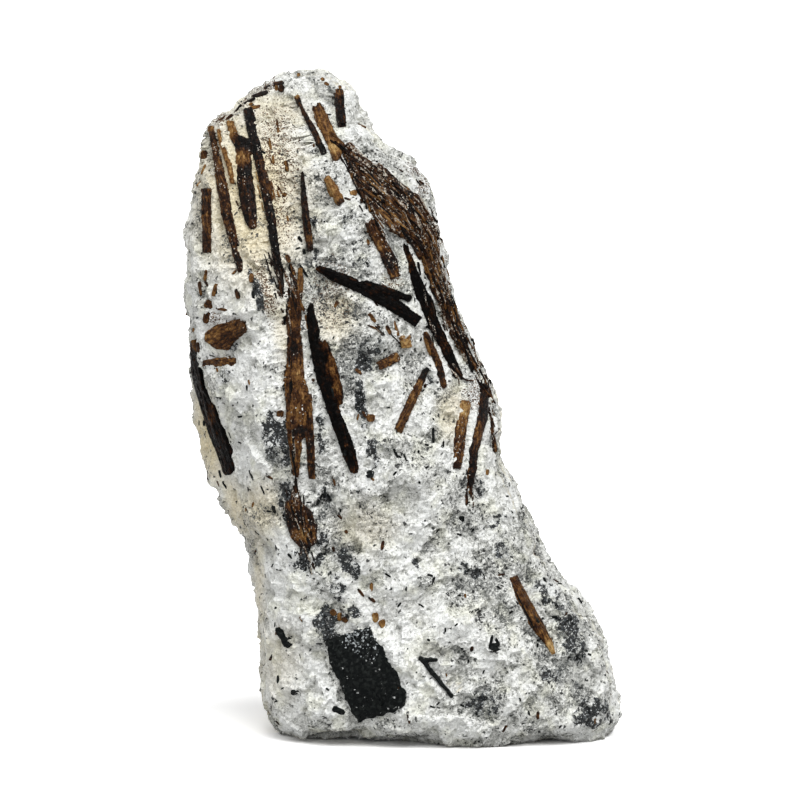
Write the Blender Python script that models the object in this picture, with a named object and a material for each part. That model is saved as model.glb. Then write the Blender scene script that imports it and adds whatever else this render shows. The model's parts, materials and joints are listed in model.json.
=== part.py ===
"""Astrophyllite specimen: a standing wedge of white feldspar rock with mica blades let into it.

Metres, +Z up. The photographed face looks along -Y and the rock stands on its flat base at z = 0.
Places on that face are given as (across, up) in millimetres, on a plane through the origin that
faces the eye.
"""

import functools
import itertools
import math
import random

import bmesh
import bpy
from mathutils import Vector, noise
from mathutils.bvhtree import BVHTree

MM = 0.001

# The eye that the front outline and the front crystals are given for
EYE_ELEVATION = math.radians(7)
EYE_DISTANCE = 1.0
EYE_AIM = (-0.6, 49.5)

# Rock outline seen from the front: (across, up), from the base to the top
LEFT_EDGE = [
    (-19.3, 0.0), (-20.4, 2.4), (-20.9, 6.8), (-21.0, 11.3), (-21.3, 15.6), (-21.6, 19.2),
    (-22.4, 23.4), (-23.1, 27.0), (-23.6, 29.4), (-24.6, 31.8), (-26.3, 34.7), (-28.1, 36.9),
    (-29.4, 39.5), (-30.2, 42.6), (-30.9, 45.9), (-31.7, 49.2), (-32.0, 52.5), (-32.1, 57.8),
    (-32.1, 66.9), (-32.0, 75.0), (-31.2, 79.5), (-31.1, 81.9), (-30.0, 85.1), (-30.4, 86.8),
    (-29.7, 89.6), (-28.2, 91.4), (-25.8, 92.7), (-24.2, 94.3), (-22.5, 95.5), (-21.2, 96.4),
    (-19.7, 97.5), (-18.0, 98.1), (-16.0, 98.4),
]
RIGHT_EDGE = [
    (31.4, 0.0), (32.1, 1.5), (31.8, 5.1), (31.1, 9.5), (29.7, 12.9), (28.5, 16.5),
    (27.2, 18.8), (25.4, 21.3), (23.1, 23.6), (21.5, 25.4), (19.8, 28.8), (18.3, 33.2),
    (17.0, 35.9), (15.8, 37.7), (14.7, 39.5), (14.0, 40.5), (14.4, 42.8), (14.1, 45.9),
    (14.0, 48.3), (13.4, 50.9), (12.6, 52.5), (11.6, 54.5), (10.5, 56.0), (9.9, 59.0),
    (8.7, 61.7), (7.8, 63.8), (6.9, 65.7), (6.3, 68.3), (6.2, 71.1), (5.6, 73.7),
    (5.1, 76.4), (4.1, 79.2), (3.8, 81.5), (2.6, 83.9), (1.2, 85.0), (-0.8, 86.3),
    (-2.8, 86.9), (-3.6, 88.0), (-5.0, 90.0), (-6.0, 92.0), (-6.9, 94.2), (-7.7, 96.3),
    (-9.5, 97.2), (-11.1, 97.9), (-12.4, 98.4),
]

# Depth of the rock in front of and behind its middle plane: (depth, up)
FRONT_DEPTH = [
    (15.2, 0.0), (17.2, 3.0), (18.6, 9.0), (18.5, 25.0), (17.5, 45.0), (16.0, 60.0),
    (14.0, 75.0), (11.5, 85.0), (8.0, 92.0), (5.0, 96.0), (1.5, 98.4),
]
BACK_DEPTH = [
    (14.5, 0.0), (16.0, 4.0), (17.0, 25.0), (16.0, 50.0), (13.5, 75.0), (10.0, 90.0),
    (7.0, 96.0), (2.5, 98.4),
]
FRONT_POWER = 3.4
BACK_POWER = 2.9
# How far the middle plane of the rock stands behind the origin: (back, up)
SWAY = [(0.0, 0.0), (1.2, 25.0), (-0.8, 50.0), (0.6, 75.0), (2.6, 98.4)]
EDGE_BLUR = 7.5
EDGE_GRIP = 5
NARROW_TOP = 88.0
TOP_FADE = 4.0

# Soft swells and hollows of the front face: (across, up, half width, half height, push out)
SWELLS = [
    (-25.5, 56.0, 6.0, 9.0, 1.3),
    (-15.0, 52.0, 3.0, 12.0, -0.9),
    (-3.0, 38.0, 9.0, 6.0, 0.7),
    (-18.0, 92.0, 8.0, 3.0, 0.8),
    (-10.0, 89.0, 4.0, 4.0, -0.7),
    (11.0, 3.0, 5.0, 6.0, 1.3),
    (-7.0, 0.0, 9.0, 1.6, -9.0),
    (-19.0, 0.0, 3.5, 1.6, -5.0),
    (21.0, 0.0, 5.0, 1.6, -5.5),
    (30.0, 0.0, 3.0, 1.6, -4.0),
    (-17.0, 26.0, 5.0, 12.0, 0.6),
    (4.0, 72.0, 4.0, 14.0, 0.6),
]

# Flat fracture faces: (a point on the face, its outward direction, how far it is fully flat), in
# millimetres. Each fades out over the same distance again.
FRACTURES = [
    ((-23.0, 0.0, 95.3), (-0.59, -0.16, 0.81), 14),
    ((-27.0, -10.6, 80.0), (-0.58, -0.81, 0.10), 20),
    ((-12.0, -13.4, 80.0), (0.12, -0.98, 0.20), 18),
    ((-1.0, -11.5, 76.0), (0.62, -0.77, 0.14), 20),
    ((-22.0, -12.5, 20.0), (-0.86, -0.50, -0.05), 24),
    ((24.0, -13.0, 14.0), (0.42, -0.88, 0.22), 16),
    ((11.0, -14.0, 47.0), (0.58, -0.81, 0.05), 14),
    ((9.0, -19.0, 10.0), (0.05, -0.97, -0.22), 10),
    ((-30.0, 6.0, 62.0), (-0.80, 0.60, 0.05), 24),
    ((-25.0, 9.5, 22.0), (-0.66, 0.75, -0.06), 22),
    ((-14.0, 11.6, 82.0), (-0.20, 0.95, 0.24), 20),
    ((-2.0, 10.0, 84.0), (0.60, 0.76, 0.26), 14),
    ((-8.0, 15.2, 52.0), (-0.06, 0.99, 0.12), 16),
    ((8.0, 12.5, 50.0), (0.64, 0.76, 0.08), 18),
    ((10.0, 16.4, 24.0), (0.24, 0.96, 0.12), 16),
    ((24.0, 11.0, 14.0), (0.66, 0.72, 0.20), 16),
    ((-8.0, 16.6, 16.0), (-0.20, 0.98, -0.04), 18),
]
FRACTURE_FLATNESS = 0.88

# Mesh of the rock
RING_STEP = 2.7
RING_POINTS = 60
LUMP_SIZE = 7.5
LUMP_TILT = 0.22
GRAIN_SIZE = 3.6
GRAIN_RELIEF = 0.32
BASE_CALM = 3.0
OUTLINE_CALM = 0.3

# Crystals let into the rock
RISE = 0.45
SHOULDER = 0.6
SET_DEPTH = 1.7
DEEPER_EACH = 0.13
GAP = 0.3
CUT_OUT = 3.0
WIDE = 2.6

BRONZE = ("bronze_mica", (0.30, 0.17, 0.07), 0.38, 0.25)
BROWN = ("brown_mica", (0.13, 0.065, 0.03), 0.42, 0.15)
BLACK = ("black_mica", (0.03, 0.024, 0.02), 0.4, 0.1)
AEGIRINE = ("black_aegirine", (0.02, 0.025, 0.025), 0.35, 0.0)
FELDSPAR = ("white_feldspar", (0.80, 0.80, 0.78), 0.6, 0.0)

# Each crystal of the front: name, material, and one or more blades that have grown together.
# A blade is a line of (across, up, width) in millimetres.
FRONT_CRYSTALS = [
    ("blade_upper_left_outer", BROWN, [
        [(-29.2, 90.4, 1.2), (-28.5, 86.2, 1.6), (-27.4, 81.7, 1.7), (-26.5, 77.4, 1.6),
         (-24.2, 68.7, 1.1)],
    ]),
    ("blade_upper_left_thin", BRONZE, [
        [(-27.8, 90.0, 0.5), (-27.1, 87.8, 0.9), (-26.1, 84.2, 0.8), (-25.6, 81.8, 0.5)],
    ]),
    ("blade_pair_upper_left", BROWN, [
        [(-26.0, 91.4, 1.1), (-25.4, 89.0, 1.3), (-24.0, 87.9, 2.6), (-24.1, 86.2, 2.2),
         (-23.8, 82.0, 2.2), (-23.3, 78.6, 2.2), (-22.9, 76.4, 1.6), (-22.5, 75.2, 0.8)],
        [(-23.4, 93.3, 1.4), (-22.4, 88.5, 1.5), (-20.9, 82.0, 1.4),
         (-19.9, 76.4, 1.4), (-18.9, 69.8, 1.2), (-18.1, 65.3, 0.8)],
    ]),
    ("blade_top_slender", BROWN, [
        [(-16.2, 95.4, 0.4), (-15.2, 93.1, 0.5), (-13.6, 89.9, 0.9), (-11.9, 86.3, 0.9)],
    ]),
    ("blade_top_golden", BRONZE, [
        [(-13.1, 93.7, 1.2), (-12.4, 91.6, 1.8), (-10.7, 88.0, 1.7), (-9.9, 85.5, 1.0)],
    ]),
    ("blade_top_dark", BROWN, [
        [(-9.8, 95.9, 1.3), (-9.6, 92.5, 1.3), (-9.3, 90.5, 1.2)],
    ]),
    ("blade_upper_slender", BROWN, [
        [(-15.2, 84.0, 0.4), (-15.0, 79.5, 0.9), (-14.5, 75.4, 1.2), (-14.0, 71.8, 0.9)],
    ]),
    ("blade_small_golden", BRONZE, [
        [(-11.7, 83.1, 1.0), (-10.4, 80.9, 1.3), (-9.2, 78.6, 0.9)],
    ]),
    ("blade_left_block", BROWN, [
        [(-29.6, 81.2, 1.4), (-29.5, 76.5, 1.4), (-29.5, 71.6, 1.3)],
    ]),
    ("plate_left_lower", BRONZE, [
        [(-30.0, 54.9, 1.3), (-27.5, 55.1, 1.3), (-25.0, 55.3, 1.2)],
    ]),
    ("plate_left_upper", BRONZE, [
        [(-29.7, 59.0, 1.1), (-28.2, 58.9, 3.6), (-27.0, 58.9, 3.9), (-26.0, 59.7, 3.0),
         (-24.6, 60.4, 2.4), (-23.7, 60.6, 1.2)],
    ]),
    ("blade_left_edge", BLACK, [
        [(-31.5, 58.5, 0.7), (-31.2, 54.6, 1.1), (-30.6, 51.3, 1.2), (-29.3, 48.0, 1.8),
         (-28.1, 45.2, 2.3), (-27.0, 41.8, 2.0), (-25.9, 38.4, 1.5)],
    ]),
    ("blade_centre_bronze", BRONZE, [
        [(-16.1, 65.6, 1.2), (-16.4, 63.8, 2.4), (-16.5, 61.6, 2.0), (-16.3, 57.0, 2.2),
         (-16.4, 52.5, 3.0), (-15.8, 49.5, 3.9), (-15.8, 45.9, 3.6), (-16.3, 43.5, 2.0),
         (-16.2, 40.8, 1.5), (-16.1, 38.1, 0.9)],
        [(-14.4, 50.3, 1.1), (-14.1, 43.9, 1.3), (-13.8, 37.6, 1.1)],
        [(-15.6, 69.4, 0.6), (-15.6, 67.0, 0.9), (-15.8, 64.8, 1.0)],
    ]),
    ("blade_centre_black", BLACK, [
        [(-14.0, 64.0, 0.7), (-13.9, 61.8, 1.4), (-13.5, 59.4, 1.8), (-12.8, 56.0, 1.9),
         (-12.0, 52.4, 1.9), (-10.6, 48.2, 1.9), (-9.2, 44.6, 2.0), (-8.0, 41.0, 1.9),
         (-7.2, 38.4, 1.2)],
        [(-11.9, 58.0, 1.0), (-10.9, 54.6, 1.7), (-10.1, 51.4, 1.7), (-9.6, 48.8, 0.9)],
    ]),
    ("blade_black_diagonal", BLACK, [
        [(-13.2, 69.5, 0.6), (-9.6, 67.8, 1.5), (-5.1, 65.8, 2.0), (-1.1, 63.6, 1.9),
         (2.2, 61.2, 1.6)],
        [(-6.0, 67.0, 0.9), (-2.4, 66.0, 1.0), (1.0, 64.6, 0.8)],
    ]),
    ("blade_golden_upper_right", BRONZE, [
        [(-5.3, 76.5, 1.4), (-3.6, 73.3, 1.8), (-2.1, 70.2, 1.8), (-1.2, 67.7, 1.3)],
    ]),
    ("blade_right_black", BLACK, [
        [(0.0, 73.0, 0.5), (1.0, 69.9, 0.9), (2.0, 67.3, 1.3), (3.2, 64.0, 1.6),
         (4.4, 61.1, 1.5), (5.6, 58.5, 1.2), (6.8, 55.8, 1.2), (8.3, 52.9, 0.9)],
    ]),
    ("blade_right_reddish", BRONZE, [
        [(3.1, 59.7, 0.5), (3.7, 58.0, 0.7), (4.9, 55.1, 0.8), (6.1, 51.3, 0.5)],
    ]),
    ("blade_lower_golden", BRONZE, [
        [(3.4, 54.3, 0.9), (1.4, 49.9, 1.4), (-1.0, 44.8, 1.4)],
    ]),
    ("blade_right_golden", BRONZE, [
        [(9.2, 49.4, 1.6), (8.6, 45.0, 1.7), (8.0, 40.5, 1.6), (7.8, 38.9, 1.2)],
    ]),
    ("blade_right_dark", BROWN, [
        [(12.2, 51.6, 1.1), (11.6, 46.5, 1.4), (10.6, 42.0, 1.4), (10.1, 38.6, 1.0),
         (9.7, 35.4, 0.4)],
    ]),
    ("mica_mass_right", BROWN, [
        [(-8.6, 87.9, 1.2), (-6.3, 84.8, 2.4), (-2.9, 81.0, 3.0), (0.6, 77.7, 3.0),
         (3.2, 73.8, 3.0), (4.4, 69.8, 2.4), (5.2, 66.2, 1.8)],
        [(-4.4, 84.6, 1.5), (-1.4, 81.8, 1.8), (1.9, 79.1, 1.8), (3.6, 76.0, 1.4)],
        [(-8.0, 85.3, 0.9), (-6.8, 81.8, 1.3), (-4.6, 79.1, 1.8), (-1.9, 76.6, 2.0),
         (1.2, 74.3, 1.9), (2.9, 71.3, 1.4)],
        [(5.1, 66.6, 1.6), (6.4, 63.2, 1.6), (8.0, 59.6, 1.4), (9.3, 56.4, 1.0),
         (10.9, 54.1, 1.0)],
    ]),
    ("mica_clump_centre", BRONZE, [
        [(-17.0, 34.6, 1.8), (-15.9, 32.2, 3.8), (-15.0, 29.7, 4.3), (-14.1, 27.4, 2.0)],
    ]),
    ("aegirine_patch", AEGIRINE, [
        [(-8.4, 14.8, 7.2), (-7.5, 11.6, 7.6), (-6.0, 8.9, 7.8), (-4.9, 6.4, 8.4),
         (-4.0, 4.0, 8.2), (-3.3, 2.3, 7.4)],
    ]),
    ("blade_lower_right", BRONZE, [
        [(16.3, 23.0, 1.2), (17.4, 20.4, 1.6), (19.8, 16.0, 1.6), (21.5, 13.2, 1.3),
         (22.4, 11.4, 0.5)],
    ]),
    ("needle_lower_right", AEGIRINE, [
        [(2.3, 10.9, 0.6), (7.4, 4.8, 0.5)],
        [(2.1, 10.7, 0.5), (5.0, 10.4, 0.5)],
    ]),
    ("needle_lower_left", AEGIRINE, [
        [(-19.0, 15.4, 0.5), (-17.3, 12.4, 0.6)],
    ]),
    ("mica_grain_square", BRONZE, [
        [(0.2, 59.2, 1.4), (0.4, 57.4, 1.4)],
    ]),
    ("mica_grain_slanted", BRONZE, [
        [(-3.8, 54.6, 1.1), (-0.8, 56.2, 1.3)],
    ]),
]

# Crystals of the back, given the same way but seen straight along Y with the same across and up
BACK_CRYSTALS = [
    ("blade_back_long", BROWN, [
        [(-22.0, 86.0, 1.2), (-18.5, 72.0, 1.8), (-14.0, 55.0, 1.3)],
    ]),
    ("blade_back_broad", BRONZE, [
        [(-11.0, 82.0, 1.6), (-7.5, 70.0, 2.6), (-3.0, 56.0, 2.8), (-1.0, 49.0, 1.6)],
    ]),
    ("blade_back_golden", BRONZE, [
        [(-27.0, 72.0, 1.1), (-25.0, 62.0, 1.4), (-23.5, 55.0, 0.9)],
    ]),
    ("blade_back_slender", BLACK, [
        [(-3.0, 78.0, 0.8), (0.5, 66.0, 1.3), (4.5, 54.0, 0.8)],
    ]),
    ("blade_back_lower", BROWN, [
        [(9.0, 38.0, 1.0), (12.0, 30.0, 1.7), (16.0, 20.0, 0.8)],
    ]),
    ("mica_plate_back", BRONZE, [
        [(-20.5, 44.0, 1.6), (-18.5, 42.0, 3.6), (-16.0, 40.5, 3.2), (-14.5, 39.5, 1.4)],
    ]),
    ("aegirine_patch_back", AEGIRINE, [
        [(-2.0, 22.0, 3.0), (-0.5, 18.0, 5.0), (1.5, 13.0, 4.6), (3.0, 9.5, 2.4)],
    ]),
]


def clear_scene():
    for obj in list(bpy.data.objects):
        bpy.data.objects.remove(obj)


def material(spec):
    name, colour, roughness, metallic = spec
    found = bpy.data.materials.get(name)
    if found:
        return found
    made = bpy.data.materials.new(name)
    made.use_nodes = True
    shader = made.node_tree.nodes["Principled BSDF"]
    shader.inputs["Base Color"].default_value = (*colour, 1)
    shader.inputs["Roughness"].default_value = roughness
    shader.inputs["Metallic"].default_value = metallic
    made.diffuse_color = (*colour, 1)
    return made


def read_off(profile, up):
    """The profile's first value at this height, on straight lines between its points."""
    for (low_value, low), (high_value, high) in zip(profile, profile[1:]):
        if up <= high:
            share = max(0.0, (up - low) / (high - low))
            return low_value + (high_value - low_value) * share
    return profile[-1][0]


def signed_power(value, power):
    return math.copysign(abs(value) ** power, value)


def level(up):
    """The real height of a place of the outline that the eye sees at this height."""
    sway = read_off(SWAY, up)
    return (up - sway * math.sin(EYE_ELEVATION)) / math.cos(EYE_ELEVATION)


def edge_at(edge, up, grip):
    """The outline at this height: exact where grip is 1, evened out over its neighbourhood at 0."""
    steps = [up + EDGE_BLUR * t for t in (-1, -0.5, 0, 0.5, 1)]
    even = sum(read_off(edge, min(max(step, 0.0), edge[-1][1])) for step in steps) / len(steps)
    return even + (read_off(edge, up) - even) * grip


def section_point(up, turn):
    """A point of the plain rounded section at this height, in millimetres, before any relief."""
    power = BACK_POWER if math.sin(turn) > 0 else FRONT_POWER
    across = signed_power(math.cos(turn), 2 / power)
    depth = signed_power(math.sin(turn), 2 / power)
    grip = max(abs(across) ** EDGE_GRIP, min(1.0, max(0.0, up - NARROW_TOP) / TOP_FADE))
    left = edge_at(LEFT_EDGE, up, grip)
    right = edge_at(RIGHT_EDGE, up, grip)
    reach = read_off(BACK_DEPTH, up) if depth > 0 else read_off(FRONT_DEPTH, up)
    x = (left + right) / 2 + across * (right - left) / 2
    swell = 0.0
    if depth < 0:
        for centre, height, half_width, half_height, push in SWELLS:
            away = ((x - centre) / half_width) ** 2 + ((up - height) / half_height) ** 2
            swell += push * math.exp(-away) * -depth
    sway = read_off(SWAY, up)
    return Vector((x, depth * reach - swell + sway, level(up)))


def flatten_to_fractures(point):
    for spot, direction, reach in FRACTURES:
        outward = Vector(direction).normalized()
        offset = point - Vector(spot)
        above = offset.dot(outward)
        fade = min(1.0, max(0.0, 2 - offset.length / reach))
        if above > 0:
            point = point - outward * above * FRACTURE_FLATNESS * fade
    return point


@functools.lru_cache(maxsize=None)
def lump_of(cell):
    """The middle of the lump that belongs to this cell of a cubic lattice, and the way it leans."""
    chance = random.Random(str(cell))
    middle = Vector([index + chance.random() for index in cell])
    lean = Vector([chance.uniform(-1, 1) for _ in cell])
    return middle, lean


def lumps(point):
    """Height of the tilted flat lumps at this point, each lump leaning its own way."""
    place = point / LUMP_SIZE
    home = [math.floor(value) for value in place]
    steps = itertools.product((-1, 0, 1), repeat=3)
    near = [lump_of(tuple(a + b for a, b in zip(home, step))) for step in steps]
    middle, lean = min(near, key=lambda lump: (lump[0] - place).length_squared)
    return (place - middle).dot(lean) * LUMP_TILT * LUMP_SIZE


def relief(point, outward):
    """The point moved outward by lumps and grain, less so near the base and the outline."""
    calm = min(1.0, point.z / BASE_CALM) * (OUTLINE_CALM + (1 - OUTLINE_CALM) * abs(outward.y))
    height = lumps(point) + noise.noise(point / GRAIN_SIZE) * GRAIN_RELIEF
    moved = point + outward * height * calm
    moved.z = max(moved.z, 0.0)
    return moved


def rock_rings():
    top = RIGHT_EDGE[-1][1]
    count = round(top / RING_STEP)
    heights = [top * i / count for i in range(count)] + [top]
    rings = []
    for up in heights:
        ring = []
        for i in range(RING_POINTS):
            turn = 2 * math.pi * i / RING_POINTS
            point = flatten_to_fractures(section_point(up, turn))
            outward = Vector((math.cos(turn), math.sin(turn), 0.0))
            if 0 < up < top:
                point = relief(point, outward)
            else:
                point.z = level(up)
            ring.append(point * MM)
        rings.append(ring)
    return rings


def skin(rings):
    """One closed solid through rings of points that all run the same way round, as a bmesh."""
    bm = bmesh.new()
    loops = [[bm.verts.new(point) for point in ring] for ring in rings]
    for lower, upper in zip(loops, loops[1:]):
        for i in range(len(lower)):
            j = (i + 1) % len(lower)
            bm.faces.new((lower[i], lower[j], upper[j], upper[i]))
    bm.faces.new(list(reversed(loops[0])))
    bm.faces.new(loops[-1])
    bmesh.ops.recalc_face_normals(bm, faces=bm.faces)
    if bm.calc_volume(signed=True) < 0:
        bmesh.ops.reverse_faces(bm, faces=bm.faces)
    return bm


def add_object(name, bm, spec=None):
    mesh = bpy.data.meshes.new(name)
    bm.to_mesh(mesh)
    bm.free()
    obj = bpy.data.objects.new(name, mesh)
    bpy.context.scene.collection.objects.link(obj)
    if spec:
        mesh.materials.append(material(spec))
    return obj


def add_helper(name, bm, collection):
    """A cutter or a joined half: never rendered, drawn as wire."""
    obj = add_object(name, bm)
    bpy.context.scene.collection.objects.unlink(obj)
    collection.objects.link(obj)
    obj.hide_render = True
    obj.display_type = "WIRE"
    return obj


def add_boolean(obj, other, operation, solver):
    boolean = obj.modifiers.new(other.name, "BOOLEAN")
    boolean.operation = operation
    boolean.solver = solver
    boolean.object = other


class Face:
    """One side of the rock, and how a place given as (across, up) is found on it."""

    def __init__(self, surface, is_front):
        self.surface = surface
        self.is_front = is_front
        self.up = Vector((0, math.sin(EYE_ELEVATION), math.cos(EYE_ELEVATION)))
        aim = Vector((EYE_AIM[0] * MM, 0, 0)) + self.up * EYE_AIM[1] * MM
        toward_eye = Vector((0, -math.cos(EYE_ELEVATION), math.sin(EYE_ELEVATION)))
        self.eye = aim + toward_eye * EYE_DISTANCE

    def spot(self, across, up):
        """The point of the rock's surface at this place, and the surface's outward direction."""
        if self.is_front:
            start = self.eye
            goal = Vector((across * MM, 0, 0)) + self.up * up * MM
        else:
            start = Vector((across * MM, EYE_DISTANCE, up * MM))
            goal = Vector((across * MM, 0, up * MM))
        hit, direction, _, _ = self.surface.ray_cast(start, (goal - start).normalized())
        if hit is None:
            hit, direction, _, _ = self.surface.find_nearest(goal)
        return hit, direction


def straightened(points, outward):
    """Surface points in a row, the inner ones moved halfway out to the line through their neighbours."""
    result = list(points)
    for i in range(1, len(points) - 1):
        before, here, after = points[i - 1], points[i], points[i + 1]
        share = (here - before).length / ((here - before).length + (after - here).length)
        wanted = before.lerp(after, share).dot(outward)
        result[i] = here + outward * (wanted - here.dot(outward)) / 2
    return result


def stations(face, line):
    """The surface points across the blade at each place of its line, and one outward direction for it."""
    columns = []
    directions = Vector()
    for i, (across, up, width) in enumerate(line):
        before = line[max(i - 1, 0)]
        after = line[min(i + 1, len(line) - 1)]
        run = Vector((after[0] - before[0], after[1] - before[1])).normalized()
        side = Vector((-run.y, run.x)) * width / 2
        shares = (-1, -0.5, 0, 0.5, 1) if max(w for _, _, w in line) > WIDE else (-1, 0, 1)
        hits = [face.spot(across + side.x * t, up + side.y * t) for t in shares]
        columns.append([hit for hit, _ in hits])
        for _, direction in hits:
            directions += direction
    outward = directions.normalized()
    runs = [straightened(points, outward) for points in zip(*columns)]
    return [list(points) for points in zip(*runs)], outward


def blade_rings(face, line, order):
    """A blade's own form. Each further blade of a crystal is set a little deeper than the one before."""
    columns, outward = stations(face, line)
    depth = outward * (SET_DEPTH + DEEPER_EACH * order) * MM
    rings = []
    for points in columns:
        top = []
        for i, point in enumerate(points):
            edge = i in (0, len(points) - 1)
            top.append(point + outward * RISE * MM * (SHOULDER if edge else 1.0))
        rings.append([*top, points[-1] - depth, points[0] - depth])
    return rings


def pocket_rings(face, line, order):
    """The room that a blade needs in the rock: its own form with a gap all round, open outwards."""
    columns, outward = stations(face, line)
    gap = GAP * MM
    rings = []
    for i, points in enumerate(columns):
        before = columns[max(i - 1, 0)]
        after = columns[min(i + 1, len(columns) - 1)]
        middle = len(points) // 2
        run = (after[middle] - before[middle]).normalized()
        side = (points[-1] - points[0]).normalized()
        slip = Vector()
        if i == 0:
            slip = -run * gap
        elif i == len(columns) - 1:
            slip = run * gap
        left = points[0] - side * gap + slip
        right = points[-1] + side * gap + slip
        high = outward * (CUT_OUT + DEEPER_EACH * order) * MM
        low = outward * (SET_DEPTH + DEEPER_EACH * order + GAP) * MM
        rings.append([left + high, right + high, right - low, left - low])
    return rings


def add_crystal(name, spec, lines, face, helpers, pockets):
    """One crystal, its blades joined where they overlap, and a pocket for each blade."""
    main = add_object(name, skin(blade_rings(face, lines[0], 0)), spec)
    for i, line in enumerate(lines):
        add_helper(f"{name}_pocket_{i}", skin(pocket_rings(face, line, i)), pockets)
        if i:
            joined = add_helper(f"{name}_part_{i}", skin(blade_rings(face, line, i)), helpers)
            add_boolean(main, joined, "UNION", "EXACT")
    return main


def new_collection(name):
    made = bpy.data.collections.new(name)
    bpy.context.scene.collection.children.link(made)
    return made


def add_rock(rings, pockets):
    rock = add_object("feldspar_matrix", skin(rings), FELDSPAR)
    for pocket in pockets.objects:
        # Crossing pockets leave the exact solver with nothing, and these meshes are all closed
        add_boolean(rock, pocket, "DIFFERENCE", "MANIFOLD")
    return rock


def main():
    clear_scene()
    rings = rock_rings()
    surface = BVHTree.FromBMesh(skin(rings))
    helpers = new_collection("joined_blades")
    pockets = new_collection("pockets")
    for crystals, is_front in ((FRONT_CRYSTALS, True), (BACK_CRYSTALS, False)):
        face = Face(surface, is_front)
        for name, spec, lines in crystals:
            add_crystal(name, spec, lines, face, helpers, pockets)
    add_rock(rings, pockets)


main()
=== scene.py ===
"""Looks of the astrophyllite specimen: white feldspar rock, bronze and black mica blades, black needles.

The rock and the crystals are rebuilt finely from the solids of the frame. Metres, +Z up, millimetres where
said. Places on the photographed face are (across, up) in millimetres, on a plane through the origin that
faces the eye.
"""

import json
import math

import bmesh
import bpy
import numpy as np
from mathutils import Euler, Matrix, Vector
from mathutils.bvhtree import BVHTree
from mathutils.kdtree import KDTree

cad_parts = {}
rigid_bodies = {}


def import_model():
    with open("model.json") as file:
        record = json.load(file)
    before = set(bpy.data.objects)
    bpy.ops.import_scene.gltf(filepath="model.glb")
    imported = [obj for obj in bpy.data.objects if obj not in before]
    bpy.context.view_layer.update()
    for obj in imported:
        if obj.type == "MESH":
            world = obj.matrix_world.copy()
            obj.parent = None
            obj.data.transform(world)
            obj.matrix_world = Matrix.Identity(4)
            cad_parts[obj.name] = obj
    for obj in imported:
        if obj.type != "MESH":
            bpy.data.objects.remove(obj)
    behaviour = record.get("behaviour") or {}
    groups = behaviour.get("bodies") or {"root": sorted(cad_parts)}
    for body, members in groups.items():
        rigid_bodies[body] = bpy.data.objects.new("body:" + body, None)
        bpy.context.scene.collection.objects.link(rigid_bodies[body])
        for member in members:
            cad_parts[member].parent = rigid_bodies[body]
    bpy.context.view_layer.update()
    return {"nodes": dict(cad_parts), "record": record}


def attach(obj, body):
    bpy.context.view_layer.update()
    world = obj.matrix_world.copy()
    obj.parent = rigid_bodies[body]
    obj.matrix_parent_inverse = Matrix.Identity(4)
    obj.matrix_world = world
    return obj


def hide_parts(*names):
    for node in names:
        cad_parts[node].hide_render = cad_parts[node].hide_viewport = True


MM = 0.001

# Camera
EYE_ELEVATION = math.radians(7)
EYE_DISTANCE = 1.0
EYE_AIM = (-0.6, 49.5)
FRAME_WIDTH = 0.12
SENSOR_WIDTH = 36.0
NEAREST_SEEN = 0.01

# Stage. Floor and surroundings show brighter than they light the rock
FLOOR_HALF = 3.0
FLOOR_LIT = 0.55
FLOOR_SEEN = 1.5
WORLD_LIT = 0.4
WORLD_SEEN = 1.1

# Suns: azimuth, elevation and softness in degrees, then strength
KEY_SUN = (30, 56, 50, 2.85)
FILL_SUN = (-45, 42, 90, 0.9)

# Fine meshes: voxels and weld in metres, the fill round the crystals in millimetres
WELD = 0.000002
ROCK_VOXEL = 0.00045
CRYSTAL_VOXEL = 0.0002
FILL_GROW = 0.35
FILL_SINK = 0.75

# Rock relief: (grain size, height spread, lean), all in millimetres or slopes
ROCK_GRAINS = [
    (6.5, 0.26, 0.13),
    (2.4, 0.13, 0.20),
    (1.0, 0.06, 0.24),
]
CALM_NEAR_CRYSTAL = 0.9
CALMEST = 0.2
PRESSED_AT_CRYSTAL = 0.05
# Depth in millimetres of a sunk spot of the relief at which the rock's colour is fully darkened: painted
# shade in its hollows
HOLLOW_SHADE_DEPTH = 0.35

# Crystals, in millimetres: how far they stand out, how much wider they are than their solids, and how ragged
CRYSTAL_PROUD = 0.05
CRYSTAL_WIDER = 0.10
CRYSTAL_RAGGED = 0.06
WIDER_CRYSTALS = {"blade_top_dark": 0.22, "blade_top_golden": 0.06, "blade_centre_black": -0.06}
PATCH_RAGGED = 0.4
LAMELLA_LENGTH = 4.5
LAMELLA_WIDTH = 0.36
LAMELLA_STEP = 0.12
TORN_END = 0.8
TORN_BY = 0.6
SHOWN_FACING = 0.6
TOPS_STEP = 3

# The rock is sunk this far below the crystals' shown faces, fully within the first distance and not past the
# second, in millimetres
BARED_BELOW = 0.16
BARED_WITHIN = (0.25, 0.6)
BARED_REACH = 3.0

# The rock's relief fades out below this height, in millimetres
BASE_LEVEL = 0.35

# Width of a ledge's slope and length of its tapered ends, in millimetres
LEDGE_SLOPE = 1.1
LEDGE_TAPER = 3.0

# Rounds of averaging with the neighbours: of the rock's points, and of its outward directions
SMOOTH_ROUNDS = 4
EVENING_ROUNDS = 5

# Share of the facing from which a surface counts fully as front, fall-off of an oval, and the x in metres
# of the upright line that the crystals face away from
FULLY_FRONT = 0.25
OVAL_FALL = 0.7
MIDDLE_X = -0.004

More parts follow.
